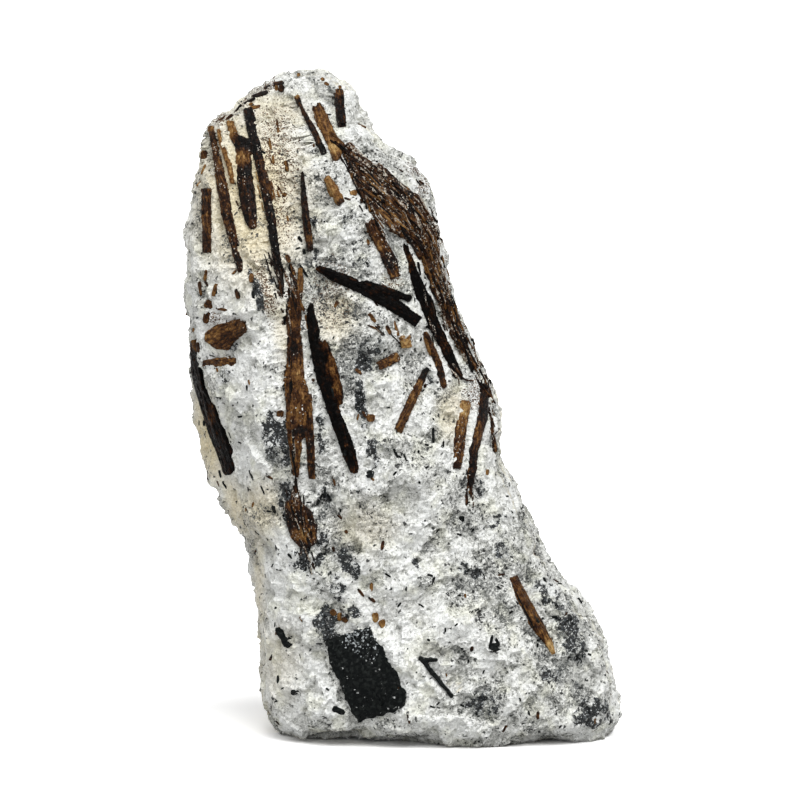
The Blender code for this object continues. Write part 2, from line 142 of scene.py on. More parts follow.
# Ledges of the front: a line of (across, up), then how far the rock steps out on its left, as seen going
# along the line, and how far from the line that lasts, in millimetres
LEDGES = [
    ([(-16.6, 60.5), (-19.0, 64.6), (-22.4, 68.0), (-26.0, 69.6), (-32.5, 69.0)], 0.9, 8.0),
    ([(-22.8, 35.0), (-20.6, 42.0), (-18.6, 52.0), (-17.9, 61.0)], 0.7, 6.0),
    ([(-21.0, 60.0), (-23.6, 63.2), (-27.0, 62.4), (-30.0, 61.6)], 0.5, 2.5),
    ([(14.5, 40.6), (9.0, 41.6), (1.6, 43.8), (-5.4, 43.4), (-8.0, 40.0)], 0.9, 9.0),
    ([(-15.0, 25.0), (-9.0, 18.0), (-3.6, 9.0), (1.6, -1.0)], 0.6, 6.0),
    ([(20.0, -1.0), (17.0, 7.0), (12.0, 15.0), (5.0, 22.0), (-1.0, 27.0)], 0.55, 6.0),
    ([(-12.0, 66.6), (-7.0, 64.0), (-3.0, 60.4), (-4.0, 55.0)], 0.5, 5.0),
    ([(-16.5, 75.0), (-10.0, 79.0), (-6.0, 81.5)], -0.5, 5.0),
    ([(-6.0, 93.0), (-13.0, 95.8), (-20.0, 94.6), (-26.0, 92.0)], -0.5, 4.0),
]

# Patches of the front, each an oval: (across, up, half width, half height, slant in degrees, strength)
DARK_PATCHES = [
    (-19.4, 44.2, 1.7, 3.4, 5, 0.75),
    (-17.8, 42.0, 0.5, 4.2, 0, 0.95),
    (-17.7, 36.2, 0.9, 2.2, 10, 0.85),
    (-12.0, 35.0, 1.1, 1.8, 10, 0.6),
    (-12.4, 44.8, 0.7, 4.0, 6, 0.55),
    (-6.2, 54.8, 1.8, 1.4, 10, 0.85),
    (-6.6, 49.4, 0.8, 4.4, 12, 0.85),
    (-14.2, 26.0, 2.7, 2.1, 25, 0.65),
    (-8.4, 25.0, 0.9, 2.8, 38, 0.85),
    (-9.6, 21.0, 1.1, 2.6, 12, 0.5),
    (-7.2, 18.6, 2.0, 0.9, 0, 0.35),
    (-11.4, 16.8, 1.8, 1.7, 20, 1.0),
    (-10.4, 13.6, 1.1, 2.8, 18, 1.0),
    (-7.8, 17.8, 1.6, 1.2, 0, 0.6),
    (-18.2, 32.6, 0.5, 2.6, 20, 0.85),
    (-12.3, 28.6, 0.8, 1.5, 20, 0.8),
    (14.6, 26.8, 1.4, 1.1, 0, 0.5),
    (13.8, 31.4, 1.9, 0.9, 10, 0.6),
    (21.4, 20.2, 1.8, 3.2, 30, 0.55),
    (25.0, 14.6, 1.7, 4.6, 22, 0.7),
    (12.0, 3.9, 2.3, 1.9, 0, 0.6),
    (21.9, 7.8, 1.9, 2.2, 0, 0.45),
    (28.4, 2.6, 3.0, 2.2, 0, 0.65),
    (9.4, 24.0, 2.0, 1.3, 0, 0.45),
    (10.4, 23.6, 0.7, 0.7, 0, 0.8),
    (1.6, 25.4, 0.6, 1.3, 10, 0.7),
    (-3.6, 28.2, 1.0, 0.9, 0, 0.4),
    (-13.3, 87.0, 1.8, 3.0, 5, 0.3),
    (-8.2, 76.2, 2.6, 1.3, 0, 0.25),
    (-6.2, 69.9, 1.4, 0.9, 0, 0.5),
    (-13.7, 76.3, 0.6, 0.9, 0, 0.5),
    (-13.3, 71.4, 0.5, 1.1, 5, 0.45),
    (-22.0, 65.2, 0.6, 3.8, 15, 0.95),
    (-19.6, 67.0, 0.7, 1.3, 0, 0.45),
    (-25.8, 57.5, 1.1, 0.8, 0, 0.6),
    (-27.0, 53.4, 1.3, 1.1, 0, 0.45),
    (-4.8, 57.2, 2.2, 1.5, 0, 0.5),
    (4.1, 52.6, 0.9, 0.9, 0, 0.7),
    (11.4, 36.0, 1.1, 1.4, 0, 0.55),
    (-4.6, 42.2, 1.7, 1.7, 0, 0.5),
    (-3.8, 40.0, 1.2, 1.2, 0, 0.4),
    (-6.4, 35.8, 0.6, 1.6, 15, 0.4),
    (7.8, 62.0, 0.9, 1.1, 0, 0.55),
    (-11.6, 66.4, 2.8, 4.4, 0, 0.24),
]
CREAM_PATCHES = [
    (-23.0, 80.0, 7.0, 11.5, 4, 0.95),
    (-20.0, 93.0, 6.0, 2.4, -15, 0.5),
    (-29.4, 44.0, 1.8, 6.5, 12, 0.95),
    (-25.2, 33.5, 1.4, 4.5, 20, 0.7),
    (-21.8, 22.0, 0.9, 9.0, 3, 0.5),
    (-10.5, 62.0, 3.0, 3.6, 0, 0.55),
    (-21.5, 33.0, 2.8, 4.0, 0, 0.55),
    (7.0, 47.5, 1.8, 3.6, 0, 0.55),
    (-5.5, 30.5, 4.0, 3.2, 0, 0.35),
    (-19.0, 10.0, 3.0, 5.0, 0, 0.3),
    (-17.8, 60.0, 1.6, 5.0, 5, 0.5),
    (-20.6, 66.0, 1.2, 4.5, 15, 0.6),
]
GREY_PATCHES = [
    (-5.0, 73.0, 4.5, 6.0, 0, 0.5),
    (-7.0, 57.0, 5.0, 5.0, 0, 0.5),
    (3.0, 38.0, 5.5, 3.8, 0, 0.45),
    (18.0, 28.0, 5.0, 6.0, 0, 0.6),
    (13.0, 21.0, 5.0, 5.0, 0, 0.5),
    (24.0, 10.5, 5.5, 6.5, 0, 0.6),
    (12.0, 5.0, 5.0, 3.0, 0, 0.55),
    (-8.0, 22.0, 5.0, 5.0, 30, 0.5),
    (-26.0, 51.0, 3.0, 3.0, 0, 0.35),
    (-16.0, 40.0, 5.0, 8.0, 0, 0.35),
    (10.0, 34.0, 5.0, 4.0, 0, 0.4),
    (-11.5, 66.0, 4.0, 6.0, 0, 1.0),
]
CLEAN_PATCHES = [
    (-24.5, 62.0, 5.5, 7.0, 0, 0.8),
    (-24.0, 46.0, 4.0, 9.0, 8, 0.9),
    (-18.0, 93.0, 7.0, 3.2, -15, 0.9),
    (-11.0, 95.0, 4.0, 3.0, 0, 0.6),
    (-18.5, 20.0, 3.6, 12.0, 0, 0.8),
    (-16.0, 6.0, 5.0, 5.0, 0, 0.7),
    (0.0, 14.0, 8.0, 6.5, 0, 0.9),
    (-5.0, 22.0, 4.0, 5.0, 30, 0.6),
    (4.0, 33.0, 6.0, 4.0, 0, 0.5),
    (2.0, 5.0, 6.0, 3.6, 0, 0.7),
    (14.0, 34.5, 3.0, 3.6, 30, 0.7),
    (-4.0, 49.0, 4.0, 4.0, 0, 0.7),
    (9.0, 43.0, 3.0, 4.0, 0, 0.5),
    (-2.0, 80.0, 4.0, 3.0, 0, 0.4),
    (28.0, 9.0, 2.6, 4.6, 20, 0.6),
    (-10.0, 74.0, 3.0, 4.0, 0, 0.4),
    (18.0, 5.0, 3.0, 4.0, 0, 0.5),
]
TAN_PATCHES = [
    (-19.0, 86.5, 2.6, 6.5, 6, 0.5),
    (-18.4, 79.0, 1.6, 5.5, 6, 0.45),
    (-20.6, 96.6, 1.5, 0.9, 40, 0.9),
    (-23.4, 94.6, 1.3, 0.7, 40, 0.8),
    (-27.2, 91.6, 1.3, 0.7, 30, 0.8),
    (1.8, 84.0, 1.4, 0.9, -30, 0.7),
    (3.0, 81.6, 0.9, 1.3, 0, 0.7),
    (4.7, 73.6, 1.0, 3.5, -10, 0.85),
    (5.9, 67.5, 0.9, 3.0, -10, 0.8),
    (-1.6, 67.0, 1.4, 1.2, 0, 0.45),
    (9.0, 60.4, 1.0, 2.0, -25, 0.8),
    (12.2, 52.6, 1.4, 1.2, -40, 0.8),
    (10.4, 49.8, 1.2, 2.0, 0, 0.55),
    (-16.5, 65.6, 1.3, 1.5, 0, 0.55),
    (-11.0, 65.5, 2.6, 4.6, 0, 0.3),
    (-20.9, 65.6, 0.8, 4.2, 15, 0.95),
    (-28.6, 61.8, 1.2, 0.8, 0, 0.7),
]

# Colour of the mica along and across a crystal, from 0 black through brown to 1 pale gold:
# its general tone, then ovals of another tone (across, up, half width, half height, tone)
MICA_TONES = {
    "blade_upper_left_outer": (0.46, [
        (-29.3, 91.0, 1.2, 1.4, 0.78), (-27.8, 83.0, 1.2, 4.0, 0.56), (-24.8, 71.0, 1.0, 2.5, 0.36)]),
    "blade_upper_left_thin": (0.75, []),
    "blade_pair_upper_left": (0.2, [
        (-25.8, 90.4, 1.1, 1.8, 0.78), (-24.4, 85.8, 1.5, 1.3, 0.74), (-23.6, 80.0, 1.5, 2.8, 0.36),
        (-22.9, 92.0, 1.0, 3.0, 0.12), (-21.1, 82.5, 1.0, 2.8, 0.46), (-19.7, 74.0, 0.8, 3.0, 0.14),
        (-18.7, 68.6, 0.7, 1.6, 0.36), (-22.7, 75.8, 0.8, 0.8, 0.48)]),
    "blade_top_slender": (0.4, [(-16.1, 95.3, 0.6, 0.6, 0.85), (-12.3, 87.0, 1.0, 1.0, 0.15)]),
    "blade_top_golden": (0.7, [(-10.6, 87.3, 1.0, 0.8, 0.92), (-13.0, 93.6, 0.9, 0.8, 0.45)]),
    "blade_top_dark": (0.3, [(-9.8, 95.6, 1.0, 0.5, 0.55)]),
    "blade_upper_slender": (0.3, [(-14.2, 73.6, 0.7, 0.8, 0.6)]),
    "blade_small_golden": (0.8, [(-9.4, 79.0, 0.6, 0.7, 0.45)]),
    "blade_left_block": (0.46, [(-29.5, 76.0, 0.8, 1.5, 0.58)]),
    "plate_left_lower": (0.6, []),
    "plate_left_upper": (0.6, [(-29.2, 59.2, 1.0, 1.2, 0.7), (-26.0, 59.0, 1.4, 0.8, 0.46)]),
    "blade_left_edge": (0.16, [(-28.9, 47.5, 0.6, 2.0, 0.5), (-31.4, 58.0, 0.8, 1.2, 0.6)]),
    "blade_centre_bronze": (0.6, [
        (-16.3, 63.0, 1.2, 1.6, 0.5), (-16.5, 57.5, 1.1, 2.6, 0.4), (-16.3, 53.6, 1.2, 1.8, 0.7),
        (-15.8, 47.6, 1.8, 1.8, 0.66), (-15.6, 44.6, 1.2, 0.9, 0.28), (-16.3, 40.5, 1.0, 2.2, 0.62),
        (-14.1, 41.0, 0.6, 4.5, 0.38), (-15.6, 68.0, 0.8, 2.0, 0.7)]),
    "blade_centre_black": (0.08, [
        (-11.9, 58.2, 0.7, 1.6, 0.5), (-10.8, 54.8, 0.8, 2.2, 0.62), (-10.0, 51.4, 0.8, 2.0, 0.64),
        (-9.4, 48.9, 0.6, 1.2, 0.5), (-7.4, 39.2, 0.8, 0.9, 0.35)]),
    "blade_black_diagonal": (0.05, [(-2.6, 66.2, 1.8, 0.6, 0.34), (-12.7, 69.3, 1.0, 0.5, 0.28)]),
    "blade_golden_upper_right": (0.56, [(-2.0, 70.2, 1.1, 1.4, 0.25), (-1.2, 68.0, 0.8, 0.6, 0.62)]),
    "blade_right_black": (0.09, [(0.9, 70.4, 0.9, 2.0, 0.4), (5.8, 58.0, 0.8, 1.4, 0.3)]),
    "blade_right_reddish": (0.5, []),
    "blade_lower_golden": (0.6, [(3.1, 53.6, 0.9, 1.2, 0.16)]),
    "blade_right_golden": (0.62, [
        (9.0, 48.2, 1.3, 1.2, 0.9), (8.4, 43.4, 1.1, 1.6, 0.56), (7.8, 39.6, 1.0, 0.6, 0.4)]),
    "blade_right_dark": (0.3, [(11.2, 44.6, 0.9, 2.0, 0.55), (9.8, 36.0, 0.6, 0.8, 0.55)]),
    "mica_mass_right": (0.47, [
        (-3.2, 78.3, 1.6, 1.6, 0.6), (-0.9, 76.8, 1.6, 1.2, 0.66), (1.2, 74.2, 1.4, 1.4, 0.55),
        (-0.9, 81.4, 0.8, 0.7, 0.02), (0.4, 80.0, 0.9, 0.8, 0.0), (1.6, 78.4, 0.8, 0.9, 0.0),
        (-4.4, 83.6, 1.3, 0.8, 0.5), (-6.8, 85.6, 1.0, 1.2, 0.4), (3.6, 76.4, 0.6, 1.2, 0.5),
        (5.0, 66.0, 1.2, 2.0, 0.42), (7.6, 60.6, 0.8, 1.6, 0.5)]),
    "mica_clump_centre": (0.34, [(-14.9, 29.4, 1.7, 1.3, 0.8), (-16.6, 33.6, 1.0, 1.0, 0.62)]),
    "blade_lower_right": (0.6, [(22.0, 12.4, 0.9, 1.3, 0.95), (16.6, 22.6, 0.9, 0.8, 0.5)]),
    "mica_grain_square": (0.86, []),
    "mica_grain_slanted": (0.56, [(-0.9, 56.1, 0.8, 0.8, 0.72)]),
    "aegirine_patch": (0.0, [(-7.6, 15.4, 1.9, 2.8, 0.85), (-5.0, 12.0, 1.2, 1.4, 0.35)]),
    "needle_lower_right": (0.0, []),
    "needle_lower_left": (0.0, []),
    "aegirine_patch_back": (0.0, []),
    "blade_back_long": (0.3, []),
    "blade_back_broad": (0.55, [(-7.0, 68.0, 3.0, 4.0, 0.35)]),
    "blade_back_golden": (0.7, []),
    "blade_back_slender": (0.1, []),
    "blade_back_lower": (0.45, []),
    "mica_plate_back": (0.55, []),
}

# Share of pale feldspar flecks between the fibres of a crystal. The rest have few
FEW_FLECKS = 0.004
FLECKS = {
    "mica_mass_right": 0.34,
    "blade_black_diagonal": 0.003,
    "blade_right_black": 0.003,
    "blade_pair_upper_left": 0.03,
    "blade_upper_left_outer": 0.06,
    "blade_golden_upper_right": 0.05,
    "mica_clump_centre": 0.10,
    "blade_right_golden": 0.06,
    "blade_centre_bronze": 0.015,
    "mica_grain_square": 0.03,
    "mica_grain_slanted": 0.05,
}

# Small mica flakes of the front: (across, up, length, width, slant from upright in degrees, tone)
FLAKES = [
    (-22.1, 83.2, 2.4, 0.18, 11, 0.9),
    (-21.7, 80.8, 2.0, 0.2, 11, 0.8),
    (-21.2, 78.3, 1.6, 0.18, 11, 0.85),
    (18.1, 18.0, 8.0, 0.25, 26, 0.0),
    (-30.7, 82.0, 2.8, 0.5, -8, 0.72),
    (-30.1, 84.1, 1.6, 0.4, -12, 0.75),
    (-30.0, 86.0, 1.9, 1.1, 0, 0.5),
    (-20.4, 81.6, 1.8, 1.3, 20, 0.45),
    (-17.6, 84.6, 5.2, 0.6, 3, 0.58),
    (-17.5, 76.8, 6.0, 0.35, 0, 0.68),
    (-17.4, 70.7, 2.9, 0.7, 18, 0.5),
    (-22.9, 67.8, 1.9, 0.75, 6, 0.62),
    (-30.6, 66.2, 5.2, 0.55, -4, 0.5),
    (-29.8, 68.2, 2.2, 0.5, -8, 0.6),
    (-28.4, 66.0, 3.4, 0.75, -12, 0.62),
    (-25.0, 65.4, 1.5, 0.75, 18, 0.35),
    (-29.2, 63.8, 1.9, 1.5, 60, 0.48),
    (-29.6, 61.9, 1.9, 1.1, -15, 0.45),
    (-27.3, 63.1, 2.1, 0.45, 80, 0.5),
    (-30.9, 57.4, 1.5, 0.75, 0, 0.42),
    (-18.6, 47.4, 1.1, 1.1, 0, 0.5),
    (-7.6, 80.6, 1.1, 1.1, 0, 0.7),
    (-4.8, 61.8, 2.9, 0.7, 35, 0.6),
    (-2.3, 60.0, 4.6, 0.6, 25, 0.5),
    (-1.2, 60.4, 3.6, 0.5, -10, 0.62),
    (3.5, 57.6, 3.0, 0.6, 14, 0.68),
    (-5.0, 46.8, 1.5, 1.3, 0, 0.6),
    (12.5, 38.7, 0.8, 0.7, 0, 0.7),
    (-4.3, 16.9, 1.5, 1.0, 10, 0.74),
    (-3.2, 15.9, 1.7, 1.1, 25, 0.7),
    (-10.6, 17.6, 1.3, 0.9, 40, 0.62),
    (-9.6, 17.0, 1.2, 0.9, 10, 0.66),
    (-8.9, 16.5, 1.0, 0.8, 60, 0.58),
    (-6.3, 90.6, 1.3, 0.5, 20, 0.5),
    (-21.6, 95.4, 2.4, 0.9, -55, 0.25),
    (-20.2, 96.6, 2.2, 1.0, -62, 0.2),
    (-18.8, 97.0, 1.6, 0.8, -75, 0.35),
    (-18.4, 96.2, 1.4, 0.9, -20, 0.3),
    (-23.2, 94.4, 1.9, 0.7, -60, 0.25),
    (-24.9, 93.2, 1.6, 0.6, -50, 0.3),
    (-26.2, 91.9, 1.3, 0.6, -55, 0.45),
    (-27.5, 91.6, 1.6, 0.6, -50, 0.5),
    (-22.4, 93.4, 1.8, 0.8, -62, 0.62),
    (-15.8, 98.2, 0.7, 0.5, 0, 0.65),
    (-12.2, 97.6, 0.7, 0.6, 0, 0.62),
    (-11.6, 96.9, 0.8, 0.5, 40, 0.6),
    (-9.6, 96.4, 0.6, 0.5, 0, 0.6),
    (-22.9, 93.8, 1.6, 0.7, -60, 0.62),
    (10.5, 57.2, 2.4, 0.5, -20, 0.45),
    (10.6, 55.0, 2.0, 0.5, -35, 0.5),
    (13.6, 43.0, 2.6, 0.6, 0, 0.5),
    (13.0, 50.2, 2.4, 0.6, 30, 0.42),
    (-10.2, 63.9, 1.1, 0.5, -25, 0.55),
    (-13.8, 88.0, 4.2, 0.7, 2, 0.42),
]

# Bundles of mica fibres of the front: start (across, up), end (across, up), half width, count, then the
# darkest and the lightest tone
BUNDLES = [
    ((-10.4, 88.4), (3.4, 77.2), 0.9, 46, 0.06, 0.75),
    ((-9.2, 87.0), (-3.6, 75.0), 0.9, 34, 0.06, 0.7),
    ((-6.5, 83.0), (4.2, 72.0), 1.7, 90, 0.06, 0.85),
    ((1.6, 84.2), (5.4, 73.0), 0.4, 16, 0.1, 0.5),
    ((2.4, 75.0), (6.2, 66.0), 1.8, 80, 0.06, 0.8),
    ((4.8, 68.0), (9.4, 57.5), 1.3, 70, 0.06, 0.75),
    ((8.0, 61.0), (12.6, 51.6), 1.0, 44, 0.06, 0.75),
    ((6.4, 54.6), (12.4, 50.6), 0.5, 8, 0.3, 0.7),
    ((12.9, 49.0), (13.4, 42.0), 0.5, 12, 0.2, 0.6),
    ((9.8, 40.0), (9.6, 34.0), 0.6, 9, 0.2, 0.6),
    ((-20.2, 71.0), (-17.4, 61.0), 0.9, 20, 0.1, 0.5),
    ((-17.2, 70.0), (-15.0, 62.0), 0.8, 18, 0.2, 0.7),
    ((-17.4, 66.0), (-16.6, 38.0), 0.3, 12, 0.0, 0.4),
    ((-16.4, 40.0), (-15.0, 26.0), 1.1, 18, 0.1, 0.6),
    ((-17.4, 36.0), (-13.0, 24.0), 1.4, 16, 0.0, 0.4),
    ((-20.4, 90.0), (-17.6, 74.0), 1.1, 9, 0.5, 0.8),
    ((3.0, 66.0), (4.6, 58.0), 0.7, 9, 0.1, 0.5),
    ((-6.4, 61.4), (-1.0, 58.6), 0.9, 5, 0.2, 0.6),
]
FIBRE_LENGTH = (1.2, 4.5)
FIBRE_WIDTH = (0.16, 0.42)

# Black needles of the front: (across, up, length, width, slant from upright in degrees)
NEEDLES = [
    (-15.6, 73.6, 2.4, 0.5, 25),
    (-14.9, 71.4, 3.2, 0.45, 12),
    (-14.9, 68.6, 2.6, 0.4, 32),
    (-19.5, 33.0, 1.6, 0.7, -10),
    (-19.1, 27.4, 1.9, 0.9, -20),
    (-22.6, 65.0, 6.6, 0.45, 16),
    (-11.9, 35.6, 3.0, 0.35, -8),
    (-11.2, 34.8, 3.4, 0.35, 18),
    (-12.6, 34.6, 2.6, 0.35, -20),
    (-1.2, 41.4, 4.2, 0.4, 26),
    (0.1, 41.0, 1.6, 0.3, 26),
    (4.4, 44.8, 3.9, 0.42, 2),
    (5.9, 42.9, 1.3, 0.3, 0),
    (4.4, 22.4, 2.1, 0.45, 20),
    (3.9, 23.2, 0.9, 0.4, 80),
    (-5.1, 38.4, 1.2, 1.2, 0),
    (13.05, 13.2, 2.8, 0.45, -12),
    (14.0, 13.2, 3.0, 0.5, 27),
    (13.7, 11.95, 2.0, 0.45, 90),
    (13.5, 12.5, 1.9, 1.3, 0),
    (-9.8, 2.9, 2.6, 1.0, 65),
    (-3.9, 4.6, 2.0, 0.3, 30),
    (-10.7, 50.6, 1.4, 0.3, 10),
    (-8.8, 41.6, 0.9, 0.4, 0),
    (8.6, 31.6, 1.0, 1.0, 0),
    (-21.2, 36.0, 1.4, 0.3, 30),
    (-22.9, 38.2, 1.6, 0.4, 30),
    (-27.6, 38.4, 1.2, 0.4, 30),
    (-26.8, 36.6, 1.6, 0.4, 30),
    (-30.0, 46.0, 0.8, 0.4, 0),
    (-17.0, 26.0, 1.2, 0.5, 40),
    (-14.0, 24.0, 1.0, 0.6, 10),
    (-2.4, 23.2, 1.1, 0.3, 60),
    (0.3, 21.2, 1.0, 0.3, 20),
    (-0.7, 18.8, 0.9, 0.3, -30),
    (6.2, 15.0, 0.7, 0.3, 0),
    (8.7, 12.2, 1.1, 0.5, 20),
    (19.9, 16.6, 1.2, 0.8, 0),
    (22.6, 17.0, 1.3, 0.9, 10),
    (26.4, 19.4, 1.0, 0.7, 0),
    (-16.4, 5.6, 1.4, 1.2, 0),
    (-18.9, 7.6, 1.2, 0.6, 0),
]
SCATTERED_NEEDLES = 420
SCATTERED_FLAKES = 150
UNDERSIDE_BELOW = 1.5

# Fibres are left out where the surface faces the eye less than this
LEAST_FACING = 0.45

# Share of the fibres that are pale, and how sugary those are
PALE_STRANDS = 0.3
PALE_SUGARY = 0.9
LIGHTER_FLAKES = 0.08

# A splinter is shortened by this share until its ends lie this close to the surface, in millimetres
LIFTED_AT_MOST = 0.3
SHORTENED = 0.75
SHORTEST_FITTED = 0.4

# Splinters: how far they stand out, in millimetres. Their rings are (share of the half length, scale), with
# None for the taper, and their section is (across in widths, out in heights)
FLAKE_PROUD = 0.16
NEEDLE_PROUD = 0.14
SCATTERED_FLAKE_PROUD = 0.7 * FLAKE_PROUD
SCATTERED_NEEDLE_PROUD = 0.5 * NEEDLE_PROUD
SPLINTER_RINGS = ((-1, None), (-0.6, 1.0), (0.55, 0.95), (1, None))
SPLINTER_SECTION = ((-0.5, -1.2), (-0.5, 0.5), (-0.2, 1.0), (0.25, 0.9), (0.5, 0.35), (0.5, -1.2))
SEED = 11


def eye_frame():
    """The eye's place, the way it looks, and its upright direction."""
    up = Vector((0, math.sin(EYE_ELEVATION), math.cos(EYE_ELEVATION)))
    aim = Vector((EYE_AIM[0] * MM, 0, 0)) + up * EYE_AIM[1] * MM
    look = Vector((0, math.cos(EYE_ELEVATION), -math.sin(EYE_ELEVATION)))
    return aim - look * EYE_DISTANCE, look, up


def seen_places(points):
    """(across, up) in millimetres on the eye's plane for points in metres."""
    eye, look, up = (np.array(v) for v in eye_frame())
    offset = points - eye
    reach = EYE_DISTANCE / (offset @ look)
    across = offset[:, 0] * reach / MM
    height = offset @ up * reach / MM
    return np.stack([across + EYE_AIM[0], height + EYE_AIM[1]], axis=1)


# Repeatable randomness on a lattice

def hashed(index, salt):
    """Evenly spread numbers from 0 to 1, one for each lattice index."""
    index = index.astype(np.int64)
    mixed = index[:, 0] * 73856093 ^ index[:, 1] * 19349663 ^ index[:, 2] * 83492791 ^ salt * 2971215073
    mixed = (mixed ^ mixed >> 13) * 1274126177 & 0xFFFFFFFF
    mixed = (mixed ^ mixed >> 15) * 2246822519 & 0xFFFFFFFF
    return (mixed ^ mixed >> 16) / 0xFFFFFFFF


def hashed_vectors(index, salt):
    return np.stack([hashed(index, salt + k) for k in range(3)], axis=1)


def nearest_cells(places, salt):
    """For each place, the nearest of the jittered lattice points, and its lattice index."""
    home = np.floor(places)
    best = np.full(len(places), np.inf)
    middle = np.zeros_like(places)
    owner = np.zeros_like(places)
    for x in (-1, 0, 1):
        for y in (-1, 0, 1):
            for z in (-1, 0, 1):
                index = home + (x, y, z)
                spot = index + hashed_vectors(index, salt)
                gap = ((spot - places) ** 2).sum(axis=1)
                nearer = gap < best
                best[nearer] = gap[nearer]
                middle[nearer] = spot[nearer]
                owner[nearer] = index[nearer]
    return middle, owner


def facets(points, size, spread, lean, salt):
    """Height in millimetres of flat-topped grains, each with its own height and its own lean."""
    places = points / (size * MM)
    middle, owner = nearest_cells(places, salt)
    height = (hashed(owner, salt + 10) - 0.5) * 2 * spread
    slope = (hashed_vectors(owner, salt + 20) - 0.5) * 2 * lean
    return height + ((places - middle) * slope).sum(axis=1) * size


def soft_noise(points, size, salt):
    """Smooth noise from -1 to 1."""
    places = points / (size * MM)
    home = np.floor(places)
    share = places - home
    share = share * share * (3 - 2 * share)
    total = np.zeros(len(points))
    for x in (0, 1):
        for y in (0, 1):
            for z in (0, 1):
                corner = np.array((x, y, z))
                weight = np.where(corner == 1, share, 1 - share).prod(axis=1)
                total += weight * hashed(home + corner, salt)
    return total * 2 - 1


# Meshes as arrays

def points_of(mesh):
    flat = np.empty(len(mesh.vertices) * 3)
    mesh.vertices.foreach_get("co", flat)
    return flat.reshape(-1, 3)


def normals_of(mesh):
    flat = np.empty(len(mesh.vertices) * 3)
    mesh.vertex_normals.foreach_get("vector", flat)
    return flat.reshape(-1, 3)


def set_points(mesh, points):
    mesh.vertices.foreach_set("co", points.ravel())
    mesh.update()


def evened(mesh, values, rounds):
    """Vectors of a mesh's points, each averaged with its neighbours' this many times."""
    edges = np.empty(len(mesh.edges) * 2, np.int32)
    mesh.edges.foreach_get("vertices", edges)
    first, second = edges.reshape(-1, 2).T
    count = np.bincount(edges, minlength=len(values))[:, None] + 1
    for _ in range(rounds):
        total = values.copy()
        for axis in range(3):
            total[:, axis] += np.bincount(first, values[second, axis], len(values))
            total[:, axis] += np.bincount(second, values[first, axis], len(values))
        values = total / count
    return values


def set_attribute(mesh, name, values):
    attribute = mesh.attributes.new(name, "FLOAT", "POINT")
    attribute.data.foreach_set("value", np.ascontiguousarray(values, np.float32))


def set_vectors(mesh, name, values):
    attribute = mesh.attributes.new(name, "FLOAT_VECTOR", "POINT")
    attribute.data.foreach_set("vector", np.ascontiguousarray(values, np.float32).ravel())


def add_mesh_object(name, mesh):
    obj = bpy.data.objects.new(name, mesh)
    bpy.context.scene.collection.objects.link(obj)
    return obj


def world_copy(node):
    """A mesh copy of a frame node in the row frame."""
    mesh = node.data.copy()
    mesh.transform(node.matrix_world)
    mesh.materials.clear()
    for name in [a.name for a in mesh.attributes if a.name.startswith("custom")]:
        mesh.attributes.remove(mesh.attributes[name])
    return mesh


def welded(mesh):
    bm = bmesh.new()
    bm.from_mesh(mesh)
    bmesh.ops.remove_doubles(bm, verts=bm.verts, dist=WELD)
    bm.to_mesh(mesh)
    bm.free()
    return mesh


def joined(name, meshes):
    """One mesh that holds all of these."""
    bm = bmesh.new()
    for mesh in meshes:
        bm.from_mesh(mesh)
    result = bpy.data.meshes.new(name)
    bm.to_mesh(result)
    bm.free()
    return result


def remeshed(name, mesh, voxel):
    """An even quad mesh round everything that the mesh encloses."""
    obj = add_mesh_object(name, mesh)
    fine = obj.modifiers.new("fine", "REMESH")
    fine.mode = "VOXEL"
    fine.voxel_size = voxel
    graph = bpy.context.evaluated_depsgraph_get()
    result = bpy.data.meshes.new_from_object(obj.evaluated_get(graph))
    bpy.data.objects.remove(obj)
    result.name = name
    return result


# The rock

def oval_field(places, ovals):
    """Strength from 0 to 1 at each place: the strongest of these soft ovals there."""
    field = np.zeros(len(places))
    for across, up, half_width, half_height, slant, strength in ovals:
        turn = math.radians(slant)
        dx = places[:, 0] - across
        dy = places[:, 1] - up
        aside = dx * math.cos(turn) + dy * math.sin(turn)
        along = -dx * math.sin(turn) + dy * math.cos(turn)
        away = (aside / half_width) ** 2 + (along / half_height) ** 2
        field = np.maximum(field, strength * np.exp(-OVAL_FALL * away ** 1.5))
    return field


def ledge_field(places):
    """Height in millimetres that the ledges give each place. A ledge rises over a short slope, and dies out
    at both ends of its line."""
    height = np.zeros(len(places))
    for line, step, fade in LEDGES:
        corners = np.array(line)
        runs = np.diff(corners, axis=0)
        lengths = np.hypot(*runs.T)
        passed = np.cumsum(lengths) - lengths
        nearest = np.full(len(places), np.inf)
        beside = np.zeros(len(places))
        reached = np.zeros(len(places))
        for start, run, length, before in zip(corners, runs, lengths, passed):
            share = np.clip((places - start) @ run / (run @ run), 0, 1)
            offset = places - start - share[:, None] * run
            gap = np.hypot(offset[:, 0], offset[:, 1])
            side = np.sign(run[0] * (places - start)[:, 1] - run[1] * (places - start)[:, 0])
            closer = gap < nearest
            nearest[closer] = gap[closer]
            beside[closer] = side[closer]
            reached[closer] = (before + share * length)[closer]
        rise = np.clip(nearest * beside / LEDGE_SLOPE + 0.5, 0, 1)
        ends = np.clip(np.minimum(reached, lengths.sum() - reached) / LEDGE_TAPER, 0, 1)
        height += step * rise * rise * (3 - 2 * rise) * ends * np.clip(1 - nearest / fade, 0, 1) ** 1.5
    return height


def facing_front(points, normals):
    """1 where the surface is turned to the eye, 0 where it is turned away."""
    _, look, _ = eye_frame()
    facing = -(normals @ np.array(look))
    return np.clip(facing / FULLY_FRONT, 0, 1)


